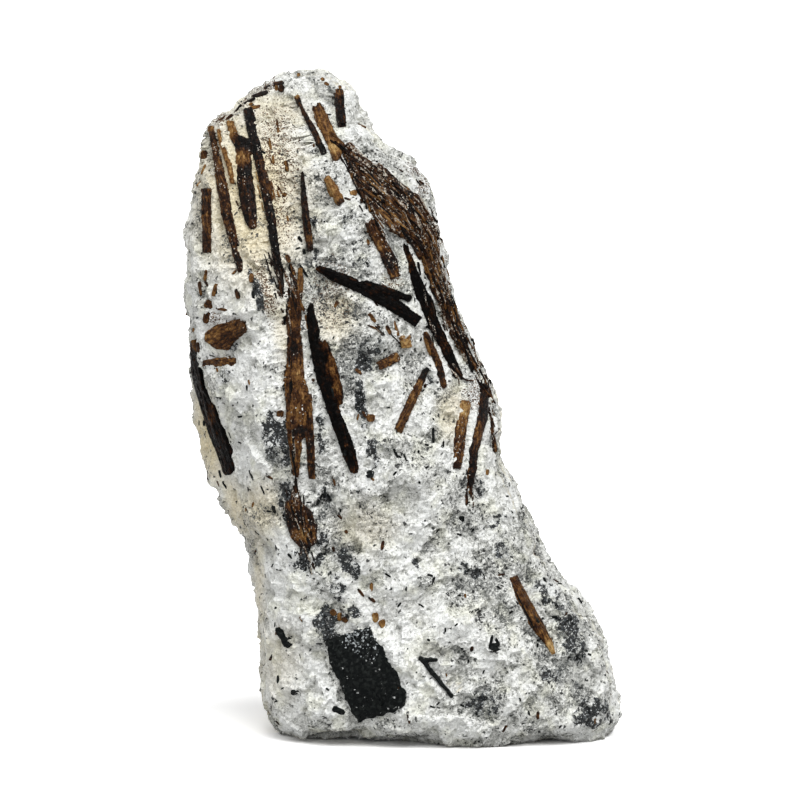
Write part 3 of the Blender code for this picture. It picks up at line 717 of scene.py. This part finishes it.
def paint_rock(mesh):
    """Where the rock is dark, cream, grey or tan, as attributes that its material reads."""
    points = points_of(mesh)
    front = facing_front(points, normals_of(mesh))
    wobble = np.stack([soft_noise(points, 1.6, 50 + k) for k in range(2)], axis=1) * 0.5
    places = seen_places(points) + wobble
    cloud = soft_noise(points, 9.0, 60) * 0.6 + soft_noise(points, 3.5, 61) * 0.4
    other = soft_noise(points, 12.0, 62) * 0.6 + soft_noise(points, 4.0, 63) * 0.4
    streak = soft_noise(points * (1, 1, 0.35), 3.0, 64)
    hidden = {
        "dark": np.clip(cloud * 1.6 - 0.55, 0, 0.8),
        "cream": np.clip(other * 1.5 - 0.1, 0, 0.8),
        "grey": np.clip(0.3 - other * 0.8, 0, 0.7),
        "tan": np.clip(streak * 1.4 - 0.75, 0, 0.8),
        "clean": np.clip(cloud * -1.2, 0, 0.8),
    }
    shown = {
        "dark": DARK_PATCHES,
        "cream": CREAM_PATCHES,
        "grey": GREY_PATCHES,
        "tan": TAN_PATCHES,
        "clean": CLEAN_PATCHES,
    }
    for name, ovals in shown.items():
        set_attribute(mesh, name, oval_field(places, ovals) * front + hidden[name] * (1 - front))


def nearness(points, others, reach):
    """0 at the nearest of the other points, rising to 1 at this reach in millimetres."""
    tree = KDTree(len(others))
    for i, point in enumerate(others):
        tree.insert(point, i)
    tree.balance()
    gaps = np.array([tree.find(point)[2] for point in points])
    return np.clip(gaps / (reach * MM), 0, 1)


def outward_of(mesh):
    """The mean direction, by area, of a crystal's faces that are turned away from the middle of the rock."""
    away = Vector()
    centre = sum((v.co for v in mesh.vertices), Vector()) / len(mesh.vertices)
    flat = Vector((centre.x - MIDDLE_X, centre.y, 0))
    for face in mesh.polygons:
        if face.normal.dot(flat) > 0:
            away += face.normal * face.area
    return away.normalized()


def filler(node):
    """A blade's form grown sideways and sunk into the rock, to close the pocket round it."""
    mesh = welded(world_copy(node))
    outward = np.array(outward_of(mesh))
    points = points_of(mesh)
    grown = points + normals_of(mesh) * FILL_GROW * MM - outward * FILL_SINK * MM
    set_points(mesh, grown)
    return mesh


def bared(points, tops):
    """Rock points sunk below the shown faces of the crystals where they would cover them."""
    tree = KDTree(len(tops))
    for i, (place, _) in enumerate(tops):
        tree.insert(place, i)
    tree.balance()
    result = points.copy()
    full, none = BARED_WITHIN
    for number, point in enumerate(points):
        place, i, gap = tree.find(point)
        if gap > BARED_REACH * MM:
            continue
        outward = tops[i][1]
        offset = Vector(point) - place
        above = offset.dot(outward) / MM + BARED_BELOW
        lateral = (offset - outward * offset.dot(outward)).length / MM
        if above > 0 and lateral < none:
            share = min(1.0, (none - lateral) / (none - full))
            result[number] -= np.array(outward) * above * share * MM
    return result


def build_rock(nodes, crystal_points, tops):
    rock = nodes["feldspar_matrix"]
    fillers = [filler(node) for name, node in nodes.items() if name != "feldspar_matrix"]
    mesh = remeshed("rock", joined("rock_source", [welded(world_copy(rock)), *fillers]), ROCK_VOXEL)
    set_points(mesh, evened(mesh, points_of(mesh), SMOOTH_ROUNDS))
    points = points_of(mesh)
    normals = evened(mesh, normals_of(mesh), EVENING_ROUNDS)
    normals /= np.linalg.norm(normals, axis=1)[:, None]
    height = np.zeros(len(points))
    for salt, (size, spread, lean) in enumerate(ROCK_GRAINS):
        height += facets(points, size, spread, lean, 100 * (salt + 1))
    wobble = np.stack([soft_noise(points, 1.8, 40 + k) for k in range(2)], axis=1) * 0.5
    ledges = ledge_field(seen_places(points) + wobble) * facing_front(points, normals)
    calm = nearness(points, crystal_points, CALM_NEAR_CRYSTAL)
    base = np.clip(points[:, 2] / (BASE_LEVEL * MM), 0, 1)
    height = height * (CALMEST + (1 - CALMEST) * calm) - PRESSED_AT_CRYSTAL * (1 - calm) + ledges * calm
    moved = points + normals * (height * base)[:, None] * MM
    moved = bared(moved, tops)
    moved[:, 2] = np.maximum(moved[:, 2], 0)
    set_points(mesh, moved)
    paint_rock(mesh)
    # The attribute "low" darkens the rock's colour where its relief is sunk, in hollows and beside the
    # crystals: painted shade
    set_attribute(mesh, "low", np.clip(-height / HOLLOW_SHADE_DEPTH, 0, 1))
    mesh.materials.append(rock_material())
    obj = add_mesh_object("feldspar_rock", mesh)
    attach(obj, "root")
    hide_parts("feldspar_matrix")
    return obj


# Crystals

def own_axes(points, outward):
    """Mean point, then the directions along, across and out of a crystal."""
    middle = points.mean(axis=0)
    flat = (points - middle) - np.outer((points - middle) @ outward, outward)
    _, _, axes = np.linalg.svd(flat, full_matrices=False)
    return middle, np.array([axes[0], np.cross(outward, axes[0]), outward])


def tone_of(name, points):
    """Tone of the mica at each point, from its general tone and its ovals."""
    general, ovals = MICA_TONES.get(name, (0.1, []))
    places = seen_places(points)
    tone = np.full(len(points), general)
    for across, up, half_width, half_height, target in ovals:
        away = ((places[:, 0] - across) / half_width) ** 2 + ((places[:, 1] - up) / half_height) ** 2
        weight = np.exp(-OVAL_FALL * away ** 2)
        tone += (target - tone) * weight
    return tone


def cleave(points, normals, outward, number, extra):
    """Blade points moved to show its cleavage: long thin lamellae at slightly different heights, with torn
    ends. Also gives the points in the blade's own axes, in millimetres."""
    middle, axes = own_axes(points, outward)
    local = (points - middle) @ axes.T / MM
    along, aside = local[:, 0], local[:, 1]
    half = np.abs(along).max()
    zero = np.zeros(len(points))
    piece = np.floor(along / LAMELLA_LENGTH + soft_noise(points, 2.0, number) * 0.35)
    strip = np.floor(aside / LAMELLA_WIDTH + piece * 0.37)
    index = np.stack([strip, piece, zero + number], axis=1)
    height = (hashed(index, 7) - 0.5) * LAMELLA_STEP + facets(points, 0.8, 0.04, 0.12, number + 5)
    ends = np.clip((np.abs(along) - half + TORN_END) / TORN_END, 0, 1)
    strip_only = np.stack([strip, np.sign(along), zero + number], axis=1)
    tear = (0.2 - hashed(strip_only, 8)) * ends * TORN_BY * np.sign(along)
    ragged = soft_noise(points, 0.55, number + 30) + soft_noise(points, 1.6, number + 31) * 0.6
    wider = np.clip(aside / 0.4, -1, 1) * (CRYSTAL_WIDER + extra + CRYSTAL_RAGGED * ragged)
    moved = points + (normals * height[:, None] + axes[0] * tear[:, None] + axes[1] * wider[:, None]) * MM
    return moved, local


def ragged_edge(points, normals, outward, number):
    """Points moved sideways in and out by noise, so that a patch gets an uneven outline."""
    sideways = normals - np.outer(normals @ outward, outward)
    amount = soft_noise(points, 2.2, number + 40) + soft_noise(points, 0.8, number + 41) * 0.7
    return points + sideways * (amount * PATCH_RAGGED * MM)[:, None]


def crystal_materials():
    return {
        "bronze_mica": mica_material("bronze_mica"),
        "brown_mica": mica_material("brown_mica"),
        "black_mica": mica_material("black_mica"),
        "black_aegirine": aegirine_material(),
    }


def build_crystals(nodes, slots, materials):
    """A finely cut piece for each crystal node. Returns all their points, near which the rock is calm, and
    the places and outward directions of their shown faces."""
    shown = []
    tops = []
    for number, name in enumerate(sorted(nodes)):
        if name == "feldspar_matrix":
            continue
        source = welded(world_copy(nodes[name]))
        outward = np.array(outward_of(source))
        mesh = remeshed(name, source, CRYSTAL_VOXEL)
        extra = WIDER_CRYSTALS.get(name, 0)
        points, local = cleave(points_of(mesh), normals_of(mesh), outward, number, extra)
        if name.startswith("aegirine"):
            points = ragged_edge(points, normals_of(mesh), outward, number)
        points += outward * CRYSTAL_PROUD * MM
        set_points(mesh, points)
        facing = normals_of(mesh) @ outward > SHOWN_FACING
        tops += [(Vector(point), Vector(outward)) for point in points[facing][::TOPS_STEP]]
        set_vectors(mesh, "grain", local)
        set_attribute(mesh, "tone", tone_of(name, points))
        set_attribute(mesh, "flecks", np.full(len(points), FLECKS.get(name, FEW_FLECKS)))
        mesh.materials.append(materials[slots[name]])
        obj = add_mesh_object(name + "_fine", mesh)
        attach(obj, "root")
        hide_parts(name)
        shown.append(points)
    return np.concatenate(shown), tops


def splinter(bm, layers, spot, length, width, proud, taper, tone=0, sugary=0):
    """A small six-sided prism lying in the surface, with its tone and its own coordinates. The spot is its
    place, the direction along it and the one out of the surface."""
    place, along, outward = spot
    aside = along.cross(outward).normalized()
    half = length / 2 * MM
    rings = []
    for share, given in SPLINTER_RINGS:
        scale = taper if given is None else given
        ring = []
        for x, z in SPLINTER_SECTION:
            offset = along * half * share + aside * x * width * scale * MM + outward * z * proud * MM
            vert = bm.verts.new(place + offset)
            vert[layers["grain"]] = Vector((share * length / 2, x * width, z * proud))
            vert[layers["tone"]] = tone
            vert[layers["flecks"]] = sugary
            ring.append(vert)
        rings.append(ring)
    for lower, upper in zip(rings, rings[1:]):
        for i in range(len(lower)):
            j = (i + 1) % len(lower)
            bm.faces.new((lower[i], lower[j], upper[j], upper[i]))
    bm.faces.new(list(reversed(rings[0])))
    bm.faces.new(rings[-1])


def whole_surface():
    """The rock and its crystals, for whatever lies on them."""
    bm = bmesh.new()
    for obj in bpy.data.objects:
        if obj.name == "feldspar_rock" or obj.name.endswith("_fine"):
            bm.from_mesh(obj.data)
    tree = BVHTree.FromBMesh(bm)
    bm.free()
    return tree


def surface_spot(surface, across, up):
    """The point of the rock that the eye sees at this place, and its outward direction."""
    eye, _, upright = eye_frame()
    goal = Vector((across * MM, 0, 0)) + upright * up * MM
    hit, direction, _, _ = surface.ray_cast(eye, (goal - eye).normalized())
    if hit is None:
        hit, direction, _, _ = surface.find_nearest(goal)
    return hit, direction


def lying_direction(slant, outward):
    """The direction in the surface that looks slanted by this many degrees from upright."""
    turn = math.radians(slant)
    wanted = Vector((math.sin(turn), 0, -math.cos(turn)))
    return (wanted - outward * wanted.dot(outward)).normalized()


def fitted(surface, place, along, length):
    """The length, shortened until both ends lie close to the surface."""
    while length > SHORTEST_FITTED:
        ends = [place + along * side * length / 2 * MM for side in (-1, 1)]
        if max(surface.find_nearest(end)[3] for end in ends) < LIFTED_AT_MOST * MM:
            break
        length *= SHORTENED
    return length


def new_splinters():
    """An empty mesh for splinters, and its layers, fetched only when all of them are there."""
    bm = bmesh.new()
    bm.verts.layers.float_vector.new("grain")
    for name in ("tone", "flecks"):
        bm.verts.layers.float.new(name)
    layers = {name: bm.verts.layers.float[name] for name in ("tone", "flecks")}
    layers["grain"] = bm.verts.layers.float_vector["grain"]
    return bm, layers


def finish_splinters(name, bm, mat):
    bmesh.ops.recalc_face_normals(bm, faces=bm.faces)
    mesh = bpy.data.meshes.new(name)
    bm.to_mesh(mesh)
    bm.free()
    mesh.materials.append(mat)
    obj = add_mesh_object(name, mesh)
    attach(obj, "root")
    return obj


def random_spots(rock, count, chance):
    """Points spread over the rock's surface by area, away from its underside."""
    mesh = rock.data
    areas = np.empty(len(mesh.polygons))
    mesh.polygons.foreach_get("area", areas)
    picks = chance.choice(len(areas), count, p=areas / areas.sum())
    for pick in picks:
        face = mesh.polygons[int(pick)]
        if face.center.z > UNDERSIDE_BELOW * MM:
            yield face.center.copy(), face.normal.copy()


def build_flakes(rock, surface, chance, mica):
    bm, layers = new_splinters()
    for across, up, length, width, slant, tone in FLAKES:
        place, outward = surface_spot(surface, across, up)
        along = lying_direction(slant, outward)
        length = fitted(surface, place, along, length)
        spot = (place, along, outward)
        splinter(bm, layers, spot, length, width, FLAKE_PROUD, 0.55, tone + LIGHTER_FLAKES)
    for place, outward in random_spots(rock, SCATTERED_FLAKES, chance):
        tone = chance.uniform(0.3, 0.75)
        length = chance.uniform(0.5, 1.6)
        spot = (place, lying_direction(chance.normal(10, 35), outward), outward)
        width = chance.uniform(0.25, 0.55)
        splinter(bm, layers, spot, length, width, SCATTERED_FLAKE_PROUD, 0.5, tone)
    return finish_splinters("mica_flakes", bm, mica)


def build_fibres(surface, chance, mica):
    bm, layers = new_splinters()
    _, look, _ = eye_frame()
    for start, end, half_width, count, darkest, lightest in BUNDLES:
        run = np.array(end) - start
        slant = math.degrees(math.atan2(run[0], -run[1]))
        aside = np.array((-run[1], run[0])) / np.linalg.norm(run)
        for _ in range(count):
            across, up = start + run * chance.uniform(0, 1) + aside * chance.normal(0, 0.5) * half_width
            place, outward = surface_spot(surface, across, up)
            tone = chance.uniform(darkest, lightest)
            sugary = PALE_SUGARY if chance.uniform() < PALE_STRANDS else 0.0
            along = lying_direction(slant + chance.normal(0, 5), outward)
            length = chance.uniform(*FIBRE_LENGTH)
            width = chance.uniform(*FIBRE_WIDTH)
            if -outward.dot(look) < LEAST_FACING:
                continue
            length = fitted(surface, place, along, length)
            spot = (place, along, outward)
            splinter(bm, layers, spot, length, width, FLAKE_PROUD, 0.35, tone, sugary)
    return finish_splinters("mica_fibres", bm, mica)


def build_needles(rock, surface, chance, aegirine):
    bm, layers = new_splinters()
    for across, up, length, width, slant in NEEDLES:
        place, outward = surface_spot(surface, across, up)
        along = lying_direction(slant, outward)
        length = fitted(surface, place, along, length)
        splinter(bm, layers, (place, along, outward), length, width, NEEDLE_PROUD, 0.6)
    for place, outward in random_spots(rock, SCATTERED_NEEDLES, chance):
        length = chance.uniform(0.35, 1.0)
        spot = (place, lying_direction(chance.uniform(-90, 90), outward), outward)
        width = chance.uniform(0.18, 0.36)
        splinter(bm, layers, spot, length, width, SCATTERED_NEEDLE_PROUD, 0.5)
    return finish_splinters("aegirine_needles", bm, aegirine)


# Materials

class Graph:
    """Short names for the shader nodes that the materials are made of."""

    def __init__(self, name):
        self.material = bpy.data.materials.new(name)
        self.material.use_nodes = True
        self.tree = self.material.node_tree
        self.shader = self.tree.nodes["Principled BSDF"]

    def put(self, socket, value):
        if isinstance(value, bpy.types.NodeSocket):
            self.tree.links.new(value, socket)
        else:
            socket.default_value = value

    def math(self, operation, a, b):
        node = self.tree.nodes.new("ShaderNodeMath")
        node.operation = operation
        self.put(node.inputs[0], a)
        self.put(node.inputs[1], b)
        return node.outputs[0]

    def plus(self, a, b):
        return self.math("ADD", a, b)

    def minus(self, a, b):
        return self.math("SUBTRACT", a, b)

    def times(self, a, b):
        return self.math("MULTIPLY", a, b)

    def swing(self, value, amount):
        """A value from 0 to 1, taken about its middle and scaled."""
        return self.times(self.minus(value, 0.5), amount)

    def vector(self, operation, a, b=None, scale=None):
        node = self.tree.nodes.new("ShaderNodeVectorMath")
        node.operation = operation
        self.put(node.inputs[0], a)
        if b is not None:
            self.put(node.inputs[1], b)
        if scale is not None:
            self.put(node.inputs["Scale"], scale)
        return node.outputs[0]

    def millimetres(self):
        """The point's own place, in millimetres."""
        coordinates = self.tree.nodes.new("ShaderNodeTexCoord")
        return self.vector("SCALE", coordinates.outputs["Object"], scale=1 / MM)

    def attribute(self, name, output="Fac"):
        node = self.tree.nodes.new("ShaderNodeAttribute")
        node.attribute_name = name
        return node.outputs[output]

    def noise(self, vector, size, detail=2.0, output="Fac"):
        node = self.tree.nodes.new("ShaderNodeTexNoise")
        self.put(node.inputs["Vector"], vector)
        node.inputs["Scale"].default_value = 1 / size
        node.inputs["Detail"].default_value = detail
        return node.outputs[output]

    def cells(self, vector, size, output="Color", feature="F1"):
        node = self.tree.nodes.new("ShaderNodeTexVoronoi")
        node.feature = feature
        self.put(node.inputs["Vector"], vector)
        node.inputs["Scale"].default_value = 1 / size
        return node.outputs[output]

    def channel(self, colour, index):
        node = self.tree.nodes.new("ShaderNodeSeparateColor")
        self.put(node.inputs[0], colour)
        return node.outputs[index]

    def between(self, value, low, high):
        """0 below low and 1 above high, smooth in between. Swapped limits turn it round."""
        node = self.tree.nodes.new("ShaderNodeMapRange")
        node.interpolation_type = "SMOOTHSTEP"
        self.put(node.inputs["Value"], value)
        self.put(node.inputs["From Min"], low)
        self.put(node.inputs["From Max"], high)
        return node.outputs[0]

    def mix(self, share, a, b, blend="MIX"):
        node = self.tree.nodes.new("ShaderNodeMix")
        node.data_type = "RGBA"
        node.blend_type = blend
        self.put(node.inputs["Factor"], share)
        self.put(node.inputs[6], a)
        self.put(node.inputs[7], b)
        return node.outputs[2]

    def ramp(self, value, stops):
        node = self.tree.nodes.new("ShaderNodeValToRGB")
        self.put(node.inputs["Fac"], value)
        elements = node.color_ramp.elements
        for element, (position, colour) in zip(elements, stops):
            element.position = position
            element.color = colour
        for position, colour in stops[2:]:
            elements.new(position).color = colour
        return node.outputs["Color"]

    def vector_swing(self, vector, amount):
        """A vector from 0 to 1, taken about its middle and scaled."""
        return self.vector("SCALE", self.vector("SUBTRACT", vector, (0.5, 0.5, 0.5)), scale=amount)

    def leaning_normal(self, vector, amount):
        """The surface's normal, leaned by a random vector from 0 to 1 times the amount."""
        geometry = self.tree.nodes.new("ShaderNodeNewGeometry")
        lean = self.vector_swing(vector, amount)
        return self.vector("NORMALIZE", self.vector("ADD", geometry.outputs["Normal"], lean))

    def bump(self, height, strength, normal):
        node = self.tree.nodes.new("ShaderNodeBump")
        node.inputs["Strength"].default_value = strength
        node.inputs["Distance"].default_value = BUMP_DISTANCE
        self.put(node.inputs["Height"], height)
        self.put(node.inputs["Normal"], normal)
        return node.outputs[0]

    def surface(self, colour, roughness, highlights, normal):
        """The finished material with these on its shader."""
        self.put(self.shader.inputs["Base Color"], colour)
        self.put(self.shader.inputs["Roughness"], roughness)
        self.put(self.shader.inputs["Specular IOR Level"], highlights)
        self.put(self.shader.inputs["Normal"], normal)
        return self.material


BUMP_DISTANCE = 0.0002
CREAM = (0.60, 0.50, 0.29, 1)
PALE_CREAM = (0.78, 0.70, 0.50, 1)
TAN = (0.17, 0.095, 0.045, 1)
DARK_BROWN = (0.035, 0.018, 0.009, 1)
SLATE = (0.060, 0.074, 0.080, 1)
PALE_SLATE = (0.40, 0.43, 0.44, 1)
BLACK = (0.004, 0.005, 0.005, 1)
OLIVE_TINT = (0.97, 0.96, 0.80, 1)
# Colour of the painted glints in the rock's dark patches
PALE_PAINTED_GLINT = (0.6, 0.62, 0.62, 1)
# Colour of the painted glints on the aegirine
GLASSY_PAINTED_GLINT = (0.42, 0.43, 0.42, 1)
PALE_FLECK = (0.58, 0.55, 0.48, 1)
BROWN_FLECK = (0.12, 0.06, 0.025, 1)
GREENISH_BLACK = (0.003, 0.004, 0.004, 1)
GREENISH_GREY = (0.011, 0.013, 0.012, 1)


def rock_material():
    """Sugary feldspar: white, grey and clear grains, black specks, and the painted patches."""
    g = Graph("white_feldspar")
    place = g.millimetres()
    warp = g.vector_swing(g.noise(place, 0.5, 3, "Color"), 0.7)
    bent = g.vector("ADD", place, warp)
    chance_coarse = g.channel(g.cells(bent, 1.2), 0)
    chance_fine = g.channel(g.cells(bent, 0.55), 0)
    tiny = g.cells(bent, 0.3)
    chance_tiny = g.channel(tiny, 0)
    chance_dark = g.channel(tiny, 1)
    sugar = g.cells(place, 0.16)
    chance_sugar = g.channel(sugar, 0)
    cloud = g.noise(place, 4.0, 5)
    crowd = g.noise(place, 2.6, 4)

    clean = g.times(g.minus(g.attribute("clean"), g.attribute("grey")), 0.22)
    zone = g.between(g.minus(cloud, clean), 0.40, 0.62)
    grain = g.swing(chance_coarse, 0.16)
    for chance, amount in ((chance_fine, 0.24), (chance_tiny, 0.40), (chance_sugar, 0.44)):
        grain = g.plus(grain, g.swing(chance, amount))
    light = g.times(grain, g.plus(g.times(zone, 0.55), 0.45))
    light = g.plus(light, g.minus(0.84, g.times(zone, 0.27)))
    light = g.minus(light, g.times(g.attribute("grey"), 0.12))
    # Painted shade: darker where the relief is sunk
    light = g.minus(light, g.times(g.attribute("low"), 0.24))
    colour = g.ramp(light, [
        (0.0, (0.040, 0.044, 0.044, 1)),
        (1.0, (0.87, 0.885, 0.87, 1)),
        (0.22, (0.14, 0.146, 0.14, 1)),
        (0.45, (0.38, 0.385, 0.36, 1)),
        (0.66, (0.66, 0.665, 0.635, 1)),
    ])
    olive = g.between(g.noise(g.vector("ADD", place, (9, 40, 3)), 3.2, 3), 0.48, 0.68)
    colour = g.mix(g.times(olive, 0.45), colour, g.mix(1.0, colour, OLIVE_TINT, "MULTIPLY"))
    cream = g.times(g.attribute("cream"), g.between(light, 0.1, 0.5))
    colour = g.mix(cream, colour, g.mix(chance_sugar, CREAM, PALE_CREAM))
    tan = g.attribute("tan")
    tanned = g.between(chance_sugar, g.times(tan, 0.9), g.times(tan, 0.7))
    tanned = g.times(tanned, g.between(tan, 0.03, 0.1))
    colour = g.mix(tanned, colour, g.mix(chance_tiny, TAN, DARK_BROWN))

    dark = g.attribute("dark")
    mottle = g.minus(g.noise(place, 1.6, 6), 0.52)
    dark = g.plus(dark, g.times(mottle, g.times(dark, 3.6)))
    veil = g.times(g.between(dark, 0.08, 0.7), 0.42)
    colour = g.mix(veil, colour, SLATE)
    lump = g.channel(g.cells(bent, 0.62), 1)
    lumpy = g.plus(g.times(lump, 0.6), g.times(chance_dark, 0.4))
    crusted = g.times(g.between(dark, 0.06, 0.70), 0.84)
    dark_grains = g.between(lumpy, crusted, g.minus(crusted, 0.02))
    colour = g.mix(dark_grains, colour, g.mix(g.between(chance_sugar, 0.62, 1.0), BLACK, SLATE))
    # Painted glints: a few pale grains scattered in the dark patches
    painted_glint = g.times(g.between(chance_sugar, 0.93, 0.95), g.between(dark, 0.1, 0.3))
    colour = g.mix(g.times(painted_glint, 0.8), colour, PALE_PAINTED_GLINT)

    share = g.times(g.between(crowd, 0.50, 0.70), g.plus(g.times(zone, 0.16), 0.03))
    share = g.plus(share, g.times(zone, 0.035))
    share = g.plus(share, 0.012)
    specks = g.between(g.channel(g.cells(bent, 0.34), 2), share, g.minus(share, 0.012))
    colour = g.mix(g.times(specks, 0.93), colour, BLACK)
    speck = g.between(g.plus(g.noise(place, 0.75, 5), g.swing(crowd, 0.25)), 0.70, 0.72)
    colour = g.mix(speck, colour, BLACK)

    roughness = g.plus(g.times(chance_tiny, 0.5), 0.2)
    normal = g.leaning_normal(tiny, 1.1)
    relief = g.plus(g.noise(place, 0.4, 4), g.times(chance_fine, 0.6))
    return g.surface(colour, roughness, 0.5, g.bump(relief, 0.8, normal))


def mica_material(name):
    """Bronze to black mica: tone along the blade, streaks and cracks along it, and pale sugary streaks."""
    g = Graph(name)
    grain = g.attribute("grain", "Vector")
    place = g.millimetres()
    warp = g.vector("SCALE", g.noise(place, 0.5, 3, "Color"), scale=0.9)
    streaks = g.noise(g.vector("MULTIPLY", grain, (0.5, 4.0, 4.0)), 1.0, 4)
    blotches = g.noise(place, 0.8, 6)
    lamella = g.vector("ADD", g.vector("MULTIPLY", grain, (0.8, 2.6, 2.6)), warp)
    chance = g.channel(g.cells(lamella, 1.0), 0)
    crack = g.between(g.cells(lamella, 1.0, "Distance", "DISTANCE_TO_EDGE"), 0.09, 0.02)
    flake = g.cells(g.vector("ADD", place, warp), 0.34)
    sugar = g.cells(place, 0.17)
    given = g.attribute("tone")
    change = g.swing(streaks, 0.90)
    parts = ((blotches, 0.70), (chance, 0.26), (g.channel(flake, 0), 0.22), (g.channel(sugar, 0), 0.12))
    for part, amount in parts:
        change = g.plus(change, g.swing(part, amount))
    change = g.minus(change, g.times(crack, 0.20))
    calm = g.minus(1.15, g.times(given, 0.75))
    tone = g.plus(given, g.times(change, calm))
    tone = g.minus(tone, 0.03)
    colour = g.ramp(tone, [
        (0.0, (0.0012, 0.0010, 0.0009, 1)),
        (1.0, (0.46, 0.31, 0.13, 1)),
        (0.2, (0.004, 0.0022, 0.0014, 1)),
        (0.38, (0.020, 0.0062, 0.0020, 1)),
        (0.55, (0.068, 0.027, 0.0080, 1)),
        (0.75, (0.20, 0.098, 0.028, 1)),
    ])
    streaked = g.between(g.noise(g.vector("MULTIPLY", grain, (0.35, 1.5, 1.5)), 1.0, 3), 0.50, 0.60)
    share = g.times(g.attribute("flecks"), g.times(streaked, 2.4))
    share = g.plus(share, g.times(g.attribute("flecks"), 0.25))
    fleck = g.between(g.channel(sugar, 1), share, g.minus(share, 0.02))
    colour = g.mix(fleck, colour, g.mix(g.channel(sugar, 2), PALE_FLECK, BROWN_FLECK))
    roughness = g.plus(g.times(chance, 0.25), 0.26)
    highlights = 0.05 if name == "black_mica" else 0.12
    normal = g.leaning_normal(flake, 0.5)
    relief = g.minus(g.plus(streaks, g.times(blotches, 0.6)), g.times(crack, 0.5))
    return g.surface(colour, roughness, highlights, g.bump(relief, 0.7, normal))


def aegirine_material():
    """Near-black crystals with a glassy broken surface, a slight green and painted glints."""
    g = Graph("black_aegirine")
    place = g.millimetres()
    cells = g.cells(place, 0.4)
    chance = g.channel(cells, 0)
    colour = g.mix(g.between(chance, 0.5, 1.0), GREENISH_BLACK, GREENISH_GREY)
    fine = g.cells(place, 0.22)
    mottled = g.times(g.attribute("tone"), g.between(g.noise(place, 0.9, 4), 0.38, 0.62))
    colour = g.mix(g.between(g.channel(fine, 0), g.minus(1.0, mottled), 1.0), colour, PALE_SLATE)
    # Painted glints: a few pale grey cells on the glassy crystals, only in some zones
    glint_zone = g.between(g.noise(place, 1.7, 3), 0.52, 0.6)
    painted_glints = g.times(g.between(g.channel(fine, 1), 0.97, 0.98), glint_zone)
    colour = g.mix(painted_glints, colour, GLASSY_PAINTED_GLINT)
    roughness = g.plus(g.times(chance, 0.3), 0.22)
    return g.surface(colour, roughness, 0.08, g.leaning_normal(cells, 0.5))


# Stage

def add_floor():
    """White paper. It shows brighter than it lights the rock, so that its shadows stay faint."""
    mesh = bpy.data.meshes.new("floor")
    corners = [(x * FLOOR_HALF, y * FLOOR_HALF, 0) for x, y in ((-1, -1), (1, -1), (1, 1), (-1, 1))]
    mesh.from_pydata(corners, [], [(0, 1, 2, 3)])
    floor = add_mesh_object("floor", mesh)
    g = Graph("floor")
    nodes = g.tree.nodes
    path = nodes.new("ShaderNodeLightPath")
    choice = nodes.new("ShaderNodeMixShader")
    g.put(choice.inputs[0], path.outputs["Is Camera Ray"])
    for i, brightness in enumerate((FLOOR_LIT, FLOOR_SEEN)):
        paper = nodes.new("ShaderNodeBsdfDiffuse")
        paper.inputs["Color"].default_value = (brightness, brightness, brightness, 1)
        g.tree.links.new(paper.outputs[0], choice.inputs[i + 1])
    g.tree.links.new(choice.outputs[0], nodes["Material Output"].inputs["Surface"])
    mesh.materials.append(g.material)


def add_sun(name, azimuth, elevation, softness, strength):
    """A soft light from far off. The azimuth is 0 behind the camera and grows towards its right."""
    data = bpy.data.lights.new(name, "SUN")
    data.angle = math.radians(softness)
    data.energy = strength
    turn, height = math.radians(azimuth), math.radians(elevation)
    level = math.cos(height)
    toward = Vector((math.sin(turn) * level, -math.cos(turn) * level, math.sin(height)))
    light = bpy.data.objects.new(name, data)
    light.location = toward
    light.rotation_euler = toward.to_track_quat("Z", "Y").to_euler()
    bpy.context.scene.collection.objects.link(light)


def add_world(seen, lit):
    """White surroundings, as bright as `seen` where they show and as `lit` where they light the rock."""
    world = bpy.data.worlds.new("studio")
    world.use_nodes = True
    tree = world.node_tree
    background = tree.nodes["Background"]
    background.inputs["Color"].default_value = (1, 1, 1, 1)
    path = tree.nodes.new("ShaderNodeLightPath")
    level = tree.nodes.new("ShaderNodeMapRange")
    level.inputs["To Min"].default_value = lit
    level.inputs["To Max"].default_value = seen
    tree.links.new(path.outputs["Is Camera Ray"], level.inputs["Value"])
    tree.links.new(level.outputs[0], background.inputs["Strength"])
    bpy.context.scene.world = world


def add_camera():
    eye, _, _ = eye_frame()
    data = bpy.data.cameras.new("camera")
    data.sensor_width = SENSOR_WIDTH
    data.lens = SENSOR_WIDTH * EYE_DISTANCE / FRAME_WIDTH
    data.clip_start = NEAREST_SEEN
    camera = bpy.data.objects.new("camera", data)
    camera.location = eye
    camera.rotation_euler = Euler((math.pi / 2 - EYE_ELEVATION, 0, 0))
    bpy.context.scene.collection.objects.link(camera)
    bpy.context.scene.camera = camera


def add_stage():
    add_floor()
    add_world(WORLD_SEEN, WORLD_LIT)
    add_sun("key", *KEY_SUN)
    add_sun("fill", *FILL_SUN)
    add_camera()
    bpy.context.scene.view_settings.view_transform = "Standard"
    bpy.context.scene.view_settings.look = "None"
    bpy.context.scene.view_settings.exposure = 0.0


def main():
    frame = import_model()
    nodes = frame["nodes"]
    slots = {part["node"]: part["material_slot"] for part in frame["record"]["subparts"]}
    chance = np.random.default_rng(SEED)
    materials = crystal_materials()
    crystal_points, tops = build_crystals(nodes, slots, materials)
    rock = build_rock(nodes, crystal_points, tops)
    surface = whole_surface()
    build_flakes(rock, surface, chance, materials["brown_mica"])
    build_fibres(surface, chance, materials["brown_mica"])
    build_needles(rock, surface, chance, materials["black_aegirine"])
    add_stage()


main()
